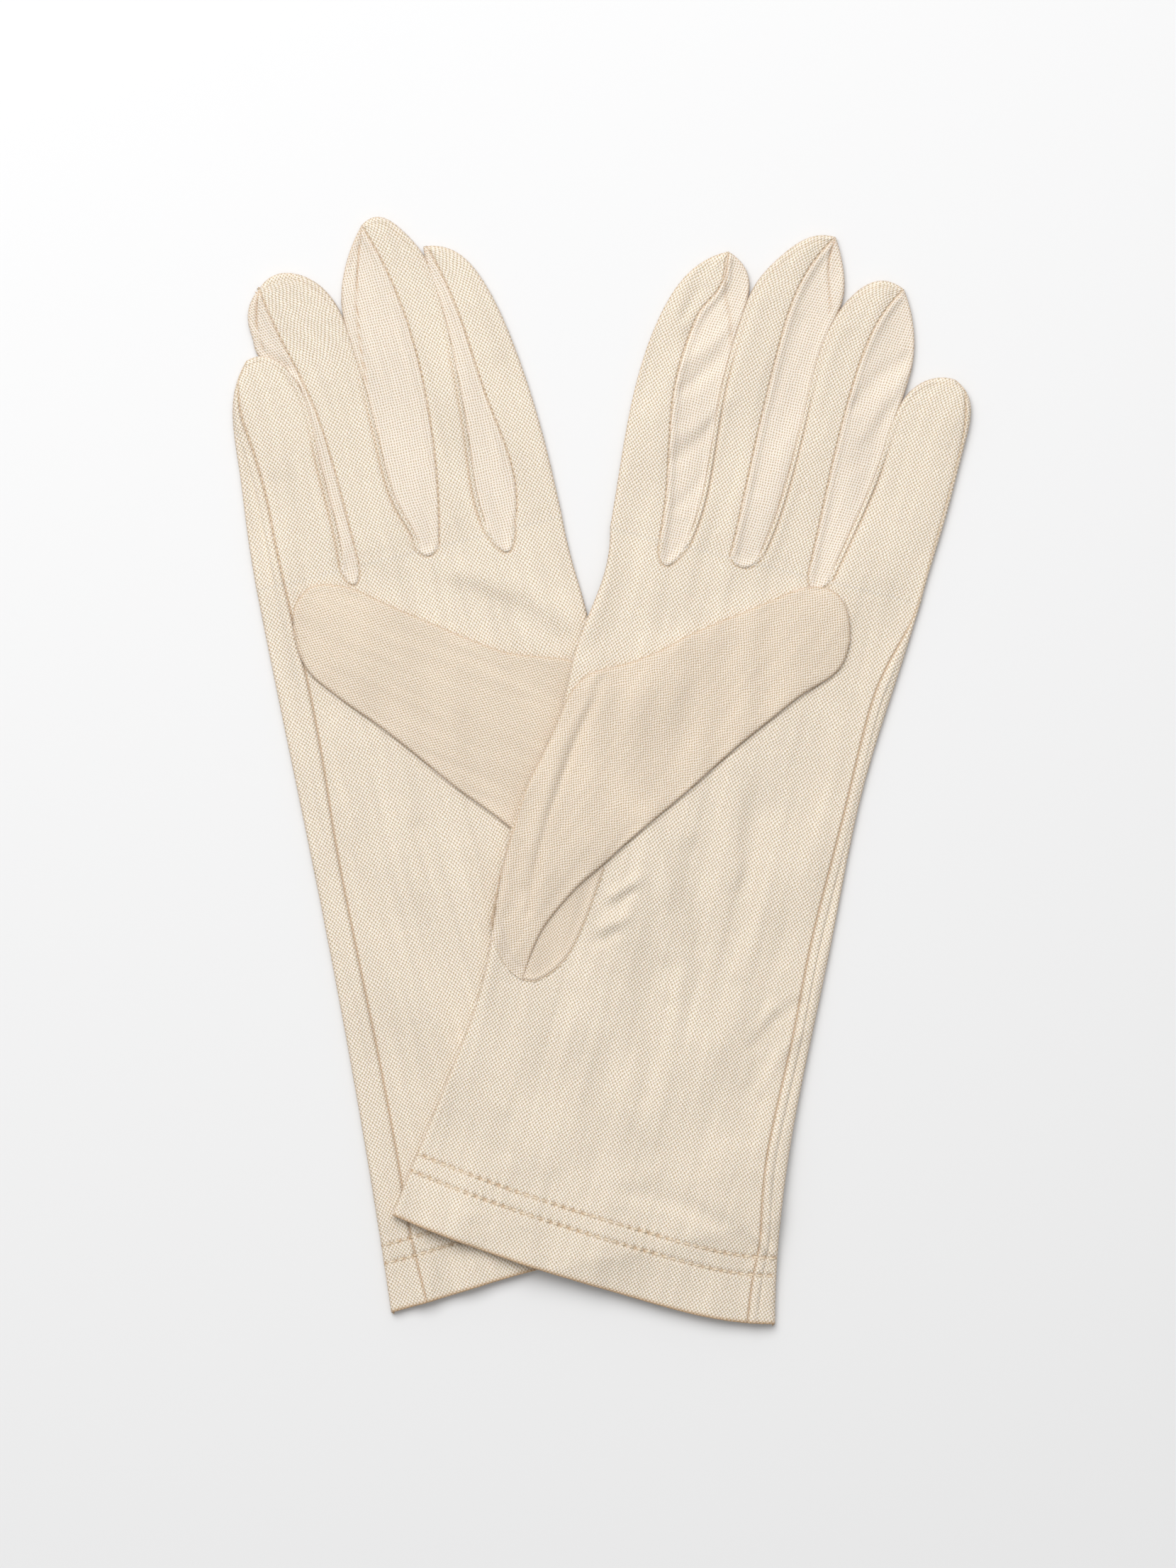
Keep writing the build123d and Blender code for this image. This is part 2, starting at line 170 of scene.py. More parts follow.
# Soft folds in the cloth: a line in pattern millimetres, its half width and its height,
# which is negative for a dent.
FOLDS = {
    "right": [
        ([(5, -12), (19, -17.5), (31, -30)], 3, -0.5),
        ([(12, -8), (26, -16), (35, -26)], 3, 0.4),
        ([(-4, -77), (-8, -101), (-10, -140)], 3, 0.45),
        ([(-14, -69), (-12.5, -91), (-16, -121)], 2.8, -0.5),
        ([(-22, -45), (-23, -90), (-26, -150)], 3.6, 0.4),
        ([(4, -85), (2, -120), (-1, -165)], 3.4, -0.4),
        ([(-28, 25), (-27.5, -10), (-28, -35)], 2.4, -0.32),
        ([(33.5, 40), (34.5, 10), (34, -18)], 3, -0.32),
        ([(-7, 60), (-6, 25), (-7, 2)], 2, -0.28),
        ([(12, 62), (13, 30), (14, 6)], 2, 0.25),
        ([(-40, -170), (-37.5, -175), (-40.2, -187)], 1.2, 0.45),
        ([(-16, -1), (2, -12), (18, -23)], 5.5, -0.55),
    ],
    "left": [
        ([(15.5, -91), (9.5, -84.5)], 1.2, 0.75),
        ([(16, -94.5), (10.5, -88.5)], 1.1, -0.65),
        ([(16, -99.5), (10.5, -95)], 1.2, 0.65),
        ([(16.5, -103), (12, -99.5)], 1.2, -0.45),
        ([(30.5, 63.6), (32.6, 56)], 1.2, -0.5),
        ([(24, 64), (27, 57.5), (30.3, 51.7)], 1.6, -0.55),
        ([(20.6, 57.2), (25, 50), (30, 44.5)], 1.7, 0.5),
        ([(21.5, 48), (25, 42.5), (28.5, 38)], 1.6, -0.55),
        ([(17.5, 38), (22, 31), (27.5, 26)], 1.8, 0.4),
        ([(19, 31), (22.5, 25), (26.5, 20)], 1.7, -0.45),
        ([(17.8, 18), (20.5, 13), (23, 9)], 1.5, -0.35),
        ([(-25.5, 59.8), (-19, 53.2), (-15.1, 44)], 1.5, -0.65),
        ([(-26, 54.5), (-21.6, 47.6), (-19, 38)], 1.7, 0.5),
        ([(-24.5, 46), (-20.5, 38), (-19, 30)], 1.6, -0.35),
        ([(3, 62), (1.5, 40), (4, 18)], 1.8, -0.35),
        ([(12.7, -69.7), (4.8, -80), (-1, -101)], 2.8, 0.5),
        ([(-1, -75), (-9, -98)], 2.6, -0.5),
        ([(-7.4, -51), (-9.8, -67), (-14, -79)], 2.6, 0.5),
        ([(-18.5, -65), (-22, -86), (-20, -102)], 2.6, 0.5),
        ([(-15.5, -80), (-17.5, -118)], 2.6, -0.45),
        ([(-6, -108), (-10, -130)], 2.4, 0.4),
        ([(-4, -115), (-5, -138)], 2.4, -0.4),
        ([(-27, -30), (-28.5, -70), (-30, -95)], 3, -0.4),
        ([(-31, -109), (-28, -117.5), (-28.6, -128)], 1.5, 0.5),
        ([(-37, -106), (-31.5, -112.5), (-28, -120)], 1.4, -0.5),
        ([(-40, -112.5), (-35.5, -119.5), (-32.7, -130)], 1.6, 0.45),
        ([(20, -118), (24, -140), (26, -160)], 3.6, -0.45),
        ([(10, -125), (13, -145), (14, -160)], 3.4, 0.4),
        ([(-8, -163), (-17, -162), (-36, -166)], 2.2, -0.5),
        ([(33, 25), (31.5, -5), (32.5, -28)], 3, -0.32),
        ([(12.5, 62), (12.5, 25), (12.5, -12)], 2.4, -0.28),
        ([(-8, 60), (-8, 25), (-7.5, 2)], 2.2, -0.28),
        ([(-39, -150), (-44.5, -164)], 1.5, 0.5),
        ([(-39.6, -165.7), (-47, -170)], 1.2, 0.5),
        ([(-36, -160), (-40.5, -172)], 1.3, -0.4),
        ([(-12, 1), (2, -10), (18, -21)], 5.5, -0.55),
    ],
}
THUMB_FOLDS = {
    "right": [
        ([(0, -60), (-12, -30), (-22, -12)], 5, -0.2),
        ([(20, -40), (5, -32)], 3, 0.25),
    ],
    "left": [
        ([(31.3, -38), (31.6, -44.4), (33.5, -53.9), (35, -66.6), (35.9, -78.1), (35.8, -90),
          (35, -100)], 1, -0.7),
        ([(33.6, -38.5), (34, -44.6), (36.2, -54.2), (37.8, -67), (38.6, -79),
          (38.4, -92)], 1.6, 0.5),
        ([(12, -30), (2, -24), (-8, -16)], 3.4, -0.22),
        ([(22, -80), (8, -58), (-8, -36)], 3.6, 0.22),
    ],
}


# ---------------------------------------------------------------------- flat geometry
def pattern_frame(glove):
    """Origin, across direction and along direction of a glove's pattern on the table."""
    joint = JOINTS[f"{glove}_index_fold"]
    side = INDEX_SIDE[glove]
    across = np.array(joint["axis"][:2]) * side
    along = np.array([-across[1], across[0]]) * side
    return np.array(joint["pos_m"][:2]) / MM, across, along


def spot(glove, points):
    """Pattern points as places on the table, in millimetres."""
    origin, across, along = pattern_frame(glove)
    points = np.asarray(points, float)
    return origin + points[..., :1] * across + points[..., 1:2] * along


def smooth(points, spacing=1.0):
    """A Catmull-Rom curve through given points, sampled at about that spacing."""
    p = np.array(points, float)
    p = np.concatenate([2 * p[:1] - p[1:2], p, 2 * p[-1:] - p[-2:-1]])
    pieces = []
    for a, b, c, d in zip(p[:-3], p[1:-2], p[2:-1], p[3:]):
        count = max(2, int(np.linalg.norm(c - b) / spacing))
        t = np.arange(count)[:, None] / count
        pieces.append(0.5 * (2 * b + (c - a) * t + (2 * a - 5 * b + 4 * c - d) * t ** 2
                             + (3 * b - a - 3 * c + d) * t ** 3))
    return np.concatenate(pieces + [p[-2:-1]])


def lengths(line):
    """How far along a line each of its points is."""
    return np.r_[0.0, np.cumsum(np.linalg.norm(np.diff(line, axis=0), axis=1))]


def at(line, fractions):
    """Points of a line at fractions of its length."""
    run = lengths(line)
    where = np.asarray(fractions) * run[-1]
    return np.stack([np.interp(where, run, line[:, i]) for i in range(line.shape[1])], -1)


def nearest(points, line):
    """Distance from each point to a line."""
    flat = points.reshape(-1, 2)
    best = np.full(len(flat), np.inf)
    for start, step in zip(line[:-1], np.diff(line, axis=0)):
        rel = flat - start
        along = np.clip(rel @ step / max((step ** 2).sum(), 1e-9), 0, 1)
        gap = rel - along[:, None] * step
        best = np.minimum(best, np.hypot(gap[:, 0], gap[:, 1]))
    return best.reshape(points.shape[:-1])


def step_up(x, low, high):
    """0 below low, 1 above high, smooth between."""
    t = np.clip((x - low) / (high - low), 0, 1)
    return t * t * (3 - 2 * t)


def bump(x, middle, half):
    """A smooth hump of height 1, nil beyond half a width from its middle."""
    t = np.clip(np.abs(x - middle) / half, 0, 1)
    return 0.5 + 0.5 * np.cos(math.pi * t)


def spaced(length, coarse, start=(0.0, 1.0), end=(0.0, 1.0)):
    """Fractions of a length: coarse steps, finer within a margin at either end.
    start and end are (margin, step)."""
    where = [0.0]
    while where[-1] < length:
        x = where[-1]
        step = start[1] if x < start[0] else coarse
        if x > length - end[0]:
            step = end[1]
        where.append(x + step)
    where = np.array(where)
    return where / where[-1]


# ------------------------------------------------------------- outlines from the frame
def outline(glove, node):
    """The edge of a CAD layer's upper face, as a closed line of pattern points."""
    mesh = frame["nodes"][node].data
    mesh.calc_loop_triangles()
    co = np.array([v.co for v in mesh.vertices]) / MM
    corners = np.array([t.vertices for t in mesh.loop_triangles])
    a, b, c = (co[corners[:, i]] for i in range(3))
    normal = np.cross(b - a, c - a)
    upward = normal[:, 2] > 0.6 * np.maximum(np.linalg.norm(normal, axis=1), 1e-12)
    keys = [tuple(k) for k in np.round(co[:, :2], 3)]
    edges = set()
    for i, j, k in corners[upward]:
        edges |= {(keys[i], keys[j]), (keys[j], keys[k]), (keys[k], keys[i])}
    follow = {p: q for p, q in edges if (q, p) not in edges}
    first = min(follow)
    loop = [first]
    while follow[loop[-1]] != first:
        loop.append(follow[loop[-1]])
    origin, across, along = pattern_frame(glove)
    rel = np.array(loop) - origin
    return np.stack([rel @ across, rel @ along], -1)


def turning(loop):
    """How sharply a closed line turns at each point, in radians."""
    before = loop - np.roll(loop, 1, 0)
    after = np.roll(loop, -1, 0) - loop
    cross = before[:, 0] * after[:, 1] - before[:, 1] * after[:, 0]
    return np.abs(np.arctan2(cross, (before * after).sum(1)))


def walk(loop, start, end, avoid):
    """The part of a closed line from one point to another that doesn't pass a third."""
    count = len(loop)
    forward = [(start + i) % count for i in range((end - start) % count + 1)]
    if avoid in forward:
        forward = [(start - i) % count for i in range((start - end) % count + 1)]
    return loop[forward]


def sides(loop):
    """A finger strip's index-side and little-side edges, from the knuckles to the tip."""
    base = np.flatnonzero(loop[:, 1] < loop[:, 1].min() + 0.01)
    near = base[np.argmax(loop[base, 0])]
    far = base[np.argmin(loop[base, 0])]
    turn = turning(loop)
    turn[loop[:, 1] < 0.6 * loop[:, 1].max()] = 0
    tip = int(np.argmax(turn))
    lines = [walk(loop, near, tip, far), walk(loop, far, tip, near)]
    for line in lines:
        line[0, 1] = 0.0
    return lines


def hand_sides(glove):
    """Index side, little-finger side and cuff edge of the hand, the sides from the
    knuckle line down and the cuff from the index side."""
    loop = outline(glove, f"{glove}_back")
    base = np.flatnonzero(loop[:, 1] > loop[:, 1].max() - 0.01)
    near = base[np.argmax(loop[base, 0])]
    far = base[np.argmin(loop[base, 0])]
    turn = turning(loop)
    turn[loop[:, 1] > 0.8 * loop[:, 1].min()] = 0
    low = np.argsort(turn)[-2:]
    near_cuff = low[np.argmax(loop[low, 0])]
    far_cuff = low[np.argmin(loop[low, 0])]
    index_side = walk(loop, near, near_cuff, far)
    little_side = walk(loop, far, far_cuff, near)
    cuff = walk(loop, near_cuff, far_cuff, near)
    index_side[0, 1] = little_side[0, 1] = 0.0
    return index_side, little_side, cuff


# ------------------------------------------------------------------- heights of cloth
def rounded(distance, radius):
    """How far up a quarter-round edge a point is, 0 at the edge and 1 past the radius."""
    t = 1 - np.clip(distance / radius, 0, 1)
    return np.sqrt(1 - t * t)


def folds(points, table):
    """Height of the soft folds in a table, at pattern points."""
    height = np.zeros(points.shape[:-1])
    for line, width, size in table:
        line = smooth(line, 4.0)
        away = nearest(points, line)
        height += size * np.exp(-(away / width) ** 2)
    return height


def ripple(points, seed):
    """Small uneven waves, longer along the cloth than across it."""
    rng = np.random.default_rng(seed)
    u, a = points[..., 0], points[..., 1]
    height = np.zeros(points.shape[:-1])
    for _ in range(14):
        across = rng.uniform(0.12, 0.75)
        along = rng.uniform(0.02, 0.16) * rng.choice((-1, 1))
        phase = rng.uniform(0, 2 * math.pi)
        height += np.sin(across * u + along * a + phase) * 0.052 / (across + 0.12)
    return height


def seam_profile(inside):
    """Height beside a seam: a groove for the stitches, a ridge of turned-in cloth inside
    it, and the lower side strip beyond. The distance is positive inside."""
    groove = -0.30 * bump(inside, 0.0, 0.34)
    ridge = 0.22 * bump(inside, 0.85, 0.80)
    lower = -0.42 * step_up(inside, 1.10, 2.60)
    return groove + ridge + lower


def side_seam_profile(outside):
    """Height beside the side seam: a groove, a flat raised allowance and a soft step."""
    groove = -0.52 * bump(outside, 0.0, 0.5)
    allowance = 0.44 * (step_up(outside, 0.2, 0.8) - step_up(outside, 1.9, 2.4))
    step = -0.20 * bump(outside, 2.5, 0.5)
    return groove + allowance + step


class Hand:
    """The lines and heights of one glove's hand."""

    def __init__(self, glove):
        self.glove = glove
        self.index_side, self.little_side, self.cuff = hand_sides(glove)
        index_edge, _ = sides(outline(glove, f"{glove}_index_back_strip"))
        _, little_edge = sides(outline(glove, f"{glove}_little_back_strip"))
        self.edges = [np.concatenate([finger[finger[:, 1] < 14.0][:0:-1], line])
                      for finger, line in ((index_edge, self.index_side),
                                           (little_edge, self.little_side))]
        self.side_seam = smooth(SIDE_SEAM[glove], 2.0)
        self.crotches = [smooth(line, 0.5) for line in CROTCHES[glove]]
        self.seed = 3 if glove == "right" else 8

    def edge_distance(self, points):
        return np.minimum(*[nearest(points, edge) for edge in self.edges])

    def relief(self, points):
        """Folds and ripples that run on from the hand into the fingers, never so deep
        that the palm meets the back."""
        free = FOLD_DEPTH * folds(points, FOLDS[self.glove]) + ripple(points, self.seed)
        return FOLD_LIMIT * np.tanh(free / FOLD_LIMIT)

    def run(self, points):
        """How far along the cuff from the index side each point is."""
        return np.interp(-points[..., 0], -self.cuff[:, 0], lengths(self.cuff))

    def top(self, points):
        """Height of the palm above what the glove lies on."""
        return self.surface(points)[0]

    def surface(self, points):
        """Height of the palm, and its painted shade in seams, between stitches and over edges."""
        edge = self.edge_distance(points)
        inner = step_up(edge, 0.0, 2.0)
        height = POUCH / 2 * (1 + rounded(edge, EDGE_RADIUS))
        height += inner * self.relief(points)
        # painted shade: darker where the cloth turns over an edge and along the side seam and the
        # slits' stitch lines
        shade = EDGE_SHADE * bump(edge, 0.0, 0.7)
        away = nearest(points, self.side_seam)
        seam_across = np.interp(points[..., 1], self.side_seam[::-1, 1],
                                self.side_seam[::-1, 0])
        outside = np.where(points[..., 0] < seam_across, away, -away)
        height += inner * side_seam_profile(outside)
        shade = np.maximum(shade, bump(away, 0.0, 0.45))
        for line in self.crotches:
            away = nearest(points, line)
            height += seam_profile(np.where(inside_of(points, line), away, -away))
            shade = np.maximum(shade, bump(away, 0.0, 0.45))
        from_cuff = nearest(points, self.cuff)
        pucker = np.cos(2 * math.pi * (self.run(points) / STITCH_PITCH - STITCH_START))
        for row in HEM_ROWS:
            height -= inner * (0.30 - 0.18 * pucker) * bump(from_cuff, row, 0.9)
            height += inner * 0.14 * pucker * bump(from_cuff, row, 2.6)
            # painted shade in the holes between the hem's stitches
            shade = np.maximum(shade, (0.8 - 0.8 * pucker) * bump(from_cuff, row, 0.85))
        height += inner * 0.16 * (1 - step_up(from_cuff, HEM_ROWS[1], HEM_ROWS[1] + 1.2))
        height += inner * 0.5 * (1 - step_up(from_cuff, 0.0, 22.0))
        height -= 0.4 * (1 - rounded(from_cuff, CLOTH))
        # painted shade along the turned edge of the cuff
        shade = np.maximum(shade, 1.6 * bump(from_cuff, 0.0, 1.3))
        return height, shade


def with_shade(points, shade):
    """Knit coordinates and shade together, as the meshes keep them."""
    return np.concatenate([points, shade[..., None]], -1)


def inside_of(points, line):
    """Which points lie inside an open line once its two ends are joined."""
    flat = points.reshape(-1, 2)
    odd = np.zeros(len(flat), bool)
    for (x0, y0), (x1, y1) in zip(line, np.roll(line, -1, 0)):
        if y0 == y1:
            continue
        crosses = (flat[:, 1] >= min(y0, y1)) & (flat[:, 1] < max(y0, y1))
        where = x0 + (flat[:, 1] - y0) / (y1 - y0) * (x1 - x0)
        odd ^= crosses & (flat[:, 0] < where)
    return odd.reshape(points.shape[:-1])


# ------------------------------------------------------------------- building meshes
def normals(ring):
    """Unit normals of a closed ring of cloth, pointing out of it."""
    along = np.gradient(ring, axis=0)
    across = (np.roll(ring, -1, 1) - np.roll(ring, 1, 1)) / 2
    normal = np.cross(along, across)
    normal /= np.maximum(np.linalg.norm(normal, axis=-1, keepdims=True), 1e-9)
    above = ring[..., 2] - ring[..., 2].mean(axis=1, keepdims=True)
    if (normal[..., 2] * above).sum() < 0:
        normal = -normal
    return normal


def make_mesh(name, points, faces, knit):
    """A mesh object from millimetre points, with each point's place in its knit and the
    painted shade that darkens it in a seam or where it turns over an edge."""
    mesh = bpy.data.meshes.new(name)
    mesh.vertices.add(len(points))
    mesh.vertices.foreach_set("co", (points * MM).astype(np.float32).ravel())
    mesh.loops.add(faces.size)
    mesh.loops.foreach_set("vertex_index", faces.ravel().astype(np.int32))
    mesh.polygons.add(len(faces))
    mesh.polygons.foreach_set("loop_start", np.arange(0, faces.size, 4, dtype=np.int32))
    mesh.update(calc_edges=True)
    layer = mesh.attributes.new("knit", "FLOAT_VECTOR", "POINT")
    layer.data.foreach_set("vector", knit.astype(np.float32).ravel())
    work = bmesh.new()
    work.from_mesh(mesh)
    bmesh.ops.remove_doubles(work, verts=work.verts, dist=0.00001)
    bmesh.ops.dissolve_degenerate(work, edges=work.edges, dist=0.000001)
    bmesh.ops.recalc_face_normals(work, faces=work.faces)
    work.to_mesh(mesh)
    work.free()
    mesh.shade_smooth()
    mesh.set_sharp_from_angle(angle=math.radians(55))
    piece = bpy.data.objects.new(name, mesh)
    bpy.context.scene.collection.objects.link(piece)
    return piece


def slab(name, outer, inner, knit, around=False):
    """A closed sheet of cloth between two grids of points with the same layout."""
    rows, cols = outer.shape[:2]
    index = np.arange(rows * cols).reshape(rows, cols)
    if around:
        index = np.c_[index, index[:, :1]]
    under = index + rows * cols

    def quads(*corners):
        return np.stack([c.ravel() for c in corners], -1)

    faces = [quads(index[:-1, :-1], index[:-1, 1:], index[1:, 1:], index[1:, :-1]),
             quads(under[:-1, :-1], under[1:, :-1], under[1:, 1:], under[:-1, 1:]),
             quads(index[0, :-1], under[0, :-1], under[0, 1:], index[0, 1:]),
             quads(index[-1, :-1], index[-1, 1:], under[-1, 1:], under[-1, :-1])]
    if not around:
        faces.append(quads(index[:-1, 0], index[1:, 0], under[1:, 0], under[:-1, 0]))
        faces.append(quads(index[:-1, -1], under[:-1, -1], under[1:, -1], index[1:, -1]))
    points = np.concatenate([outer.reshape(-1, 3), inner.reshape(-1, 3)])
    knit = np.concatenate([knit.reshape(-1, 3)] * 2)
    return make_mesh(name, points, np.concatenate(faces), knit)


def raised(glove, points, height, bed):
    """Pattern points and heights as points in space, on top of the glove's bed."""
    place = spot(glove, points)
    return np.concatenate([place, (height + bed(place))[..., None]], -1)


def offsets(width, start, end, middle):
    """Distances across each row: steps kept at both ends, even spacing between."""
    squeeze = np.minimum(1, width / (1.2 * (start[-1] + end[-1])))[:, None]
    first = start * squeeze
    last = width[:, None] - end[::-1] * squeeze
    share = np.linspace(0, 1, middle + 2)[1:-1]
    between = first[:, -1:] + (last[:, :1] - first[:, -1:]) * share
    return np.concatenate([first, between, last], 1)


def across_rows(start, end, begin_steps, end_steps, middle):
    """A grid of points from one line to another, and nothing finer than it needs."""
    width = np.linalg.norm(end - start, axis=1)
    share = offsets(width, begin_steps, end_steps, middle) / np.maximum(width, 1e-6)[:, None]
    return start[:, None] + (end - start)[:, None] * share[..., None]


def inner_of(ring, thickness):
    """The inside face of a ring of cloth."""
    return ring - normals(ring) * thickness


# --------------------------------------------------------------------------- fingers
def finger_lines(hand, name):
    """A finger's index-side edge, palm seam and little-side edge, from the knuckles up."""
    glove = hand.glove
    near, far = sides(outline(glove, f"{glove}_{name}_back_strip"))
    if name == "little":
        seam = at(hand.side_seam, np.linspace(0, 1, 400))
        seam = seam[seam[:, 1] >= 0][::-1]
        seam = np.concatenate([seam, near[-1:]])
        seam[0, 1] = 0.0
    else:
        _, seam = sides(outline(glove, f"{glove}_{name}_palm_strip"))
    tip = near[-1, 1]
    tip_start = TIP_SHARE * tip
    if name != "index":
        near[:, 0] += NEAR_GROWTH * (1 - step_up(near[:, 1], tip_start, tip))
    if name != "little":
        far[:, 0] -= FAR_GROWTH * (1 - step_up(far[:, 1], tip_start, tip))
    if (glove, name) == ("right", "ring"):
        far[:, 0] -= LOCAL_GROWTH * bump(far[:, 1], 55.5, 8.0)
    if (glove, name) == ("right", "index"):
        far[:, 0] -= FAR_GROWTH * step_up(far[:, 1], tip_start, tip)
        near[-1] = far[-1]
    if (glove, name) == ("left", "index"):
        seam[:, 0] -= LOCAL_GROWTH * bump(seam[:, 1], 66.0, 9.0)
    if name == "little":
        outer = np.interp(seam[:, 1], far[:, 1], far[:, 0])
        seam[:, 0] = np.maximum(seam[:, 0], outer + 0.3 * (seam[:, 1] < tip))
    return near, seam, far


def finger_surface(hand, name, top, palm_columns, near, seam, far):
    """Height and shade of a finger's upper side, running into the hand's at the knuckles."""
    body = f"{hand.glove}_{name}"
    tip = near[-1, 1]
    near_gap, seam_gap, far_gap = (nearest(top, line) for line in (near, seam, far))
    edge = np.minimum(near_gap, far_gap)
    inner = step_up(edge, 0.0, 1.8)
    height = POUCH / 2 * (1 + rounded(edge, EDGE_RADIUS)) + inner * hand.relief(top)
    # painted shade where the cloth turns over an edge, along the seams and beside the next
    # finger's edge
    shade = np.maximum(EDGE_SHADE * bump(edge, 0.0, 0.7), bump(seam_gap, 0.0, 0.45))
    beyond = np.arange(top.shape[1]) >= palm_columns - 1
    signed = np.where(beyond, seam_gap, -seam_gap)
    profile = side_seam_profile if name == "little" else seam_profile
    height += inner * profile(signed)
    if name != "index":
        strength = 0.35 + 0.65 * (1 - step_up(top[..., 1], 0.45 * tip, 0.7 * tip))
        height += strength * (0.26 * bump(near_gap, 0.8, 0.7) - 0.40 * bump(near_gap, 1.5, 0.4))
        shade = np.maximum(shade, 0.8 * strength * bump(near_gap, 1.5, 0.4))
    if body in BACK_SEAMS:
        gap = nearest(top, smooth(BACK_SEAMS[body], 2.0))
        height += inner * (0.20 * bump(gap, 0.75, 0.6) - 0.30 * bump(gap, 0.0, 0.35))
        shade = np.maximum(shade, bump(gap, 0.0, 0.4))
    middle = (palm_columns - 1) / 2
    dome = PALM_DOME * bump(np.arange(palm_columns), middle, middle)
    height[:, :palm_columns] += dome * inner[:, :palm_columns]
    hand_top, hand_shade = hand.surface(top)
    hand_top -= 0.08 * step_up(-top[..., 1], 0.0, TUCK)
    own = step_up(top[..., 1], 0.0, 4.0)
    height = height * own + hand_top * (1 - own)
    shade = shade * own + hand_shade * (1 - own)
    if body == "right_ring":
        under_little = bump(top[..., 1], 55.0, 9.0) * (1 - step_up(far_gap, 1.0, 4.0))
        height -= 0.8 * under_little
    return height, shade


def finger_panels(name, at_seam, at_far, total):
    """First and last column, material and replaced nodes of each of a finger's pieces."""
    wall_start = total - WALL_COLUMNS
    index_wall = {"fourchette_index_side": (wall_start, total + 2, "fourchette_knit",
                                            ("fourchette_index_side",))}
    little_wall = {"fourchette_little_side": (at_seam, at_far + 2, "fourchette_knit",
                                              ("fourchette_little_side",))}
    palm = {"palm_strip": (2, at_seam, "glove_knit", ("palm_strip",))}
    if name == "index":
        return {"palm_and_back": (at_far + 2, total + at_seam, "glove_knit",
                                  ("back_strip", "palm_strip", "folded_edge")),
                **little_wall}
    if name == "little":
        return {**index_wall, **palm, "back_strip": (at_seam, wall_start, "glove_knit",
                                                     ("back_strip", "side_seam"))}
    return {**index_wall, **palm, **little_wall,
            "back_strip": (at_far + 2, wall_start, "glove_knit", ("back_strip",))}


def build_finger(hand, name, bed):
    """One finger as its real strips, each a closed sheet."""
    glove = hand.glove
    body = f"{glove}_{name}"
    near, seam, far = finger_lines(hand, name)
    rows = spaced(lengths(near)[-1], 1.2, (10.0, 0.65), (9.0, 0.5))
    near_row, seam_row, far_row = (
        np.concatenate([at(line, rows)[:1] - np.array([inward, TUCK]), at(line, rows)])
        for line, inward in ((near, 0.5), (seam, 0.0), (far, -0.5)))
    strip_columns = 18 if body in BACK_SEAMS else 6
    palm = across_rows(near_row, seam_row, EDGE_STEPS, SEAM_STEPS, 7)
    strip = across_rows(seam_row, far_row, SEAM_STEPS, EDGE_STEPS, strip_columns)[:, 1:]
    back = across_rows(far_row, near_row, EDGE_STEPS, EDGE_STEPS, 6)[:, 1:-1]
    top = np.concatenate([palm, strip], 1)
    height, shade = finger_surface(hand, name, top, palm.shape[1], near, seam, far)

    back_edge = np.minimum(nearest(back, near), nearest(back, far))
    under = POUCH / 2 * (1 - rounded(back_edge, EDGE_RADIUS)) + OFF_TABLE
    flat = np.concatenate([top, back], 1)
    ring = raised(glove, flat, np.concatenate([height, under], 1), bed)
    middle = (near_row + far_row) / 2
    lean = np.interp(flat[..., 1], middle[:, 1], middle[:, 0] - middle[0, 0])
    # painted shade where the back turns over an edge
    shade = np.concatenate([shade, EDGE_SHADE * bump(back_edge, 0.0, 0.7)], 1)
    knit = np.stack([flat[..., 0] - lean, flat[..., 1], shade], -1)
    thick = np.clip(0.4 * np.linalg.norm(far_row - near_row, axis=1), 0.05, CLOTH)
    inside = inner_of(ring, thick[:, None, None])

    total, at_seam, at_far = ring.shape[1], palm.shape[1] - 1, top.shape[1] - 1
    panels = finger_panels(name, at_seam, at_far, total)
    for panel, (first, last, slot, replaced) in panels.items():
        columns = np.arange(first, last + 1) % total
        piece = slab(f"{body}_{panel}_cloth", ring[:, columns], inside[:, columns],
                     knit[:, columns])
        finish_cloth(piece, slot)
        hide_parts(*[f"{body}_{node}" for node in replaced])
        bend_at_knuckles(piece)
    sewn = seam_row[:, 1] > 0.5
    path = raised(glove, seam_row[sewn], height[sewn, at_seam] + 0.04, bed)
    threads = stitches(f"{body}_seam_stitches", [path], 1.15, 0.55, 0.13)
    finish_thread(threads)
    bend_at_knuckles(threads)
    return ring


def bend_at_knuckles(piece):
    """Bakes the piece's placement into its mesh."""
    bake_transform(piece)


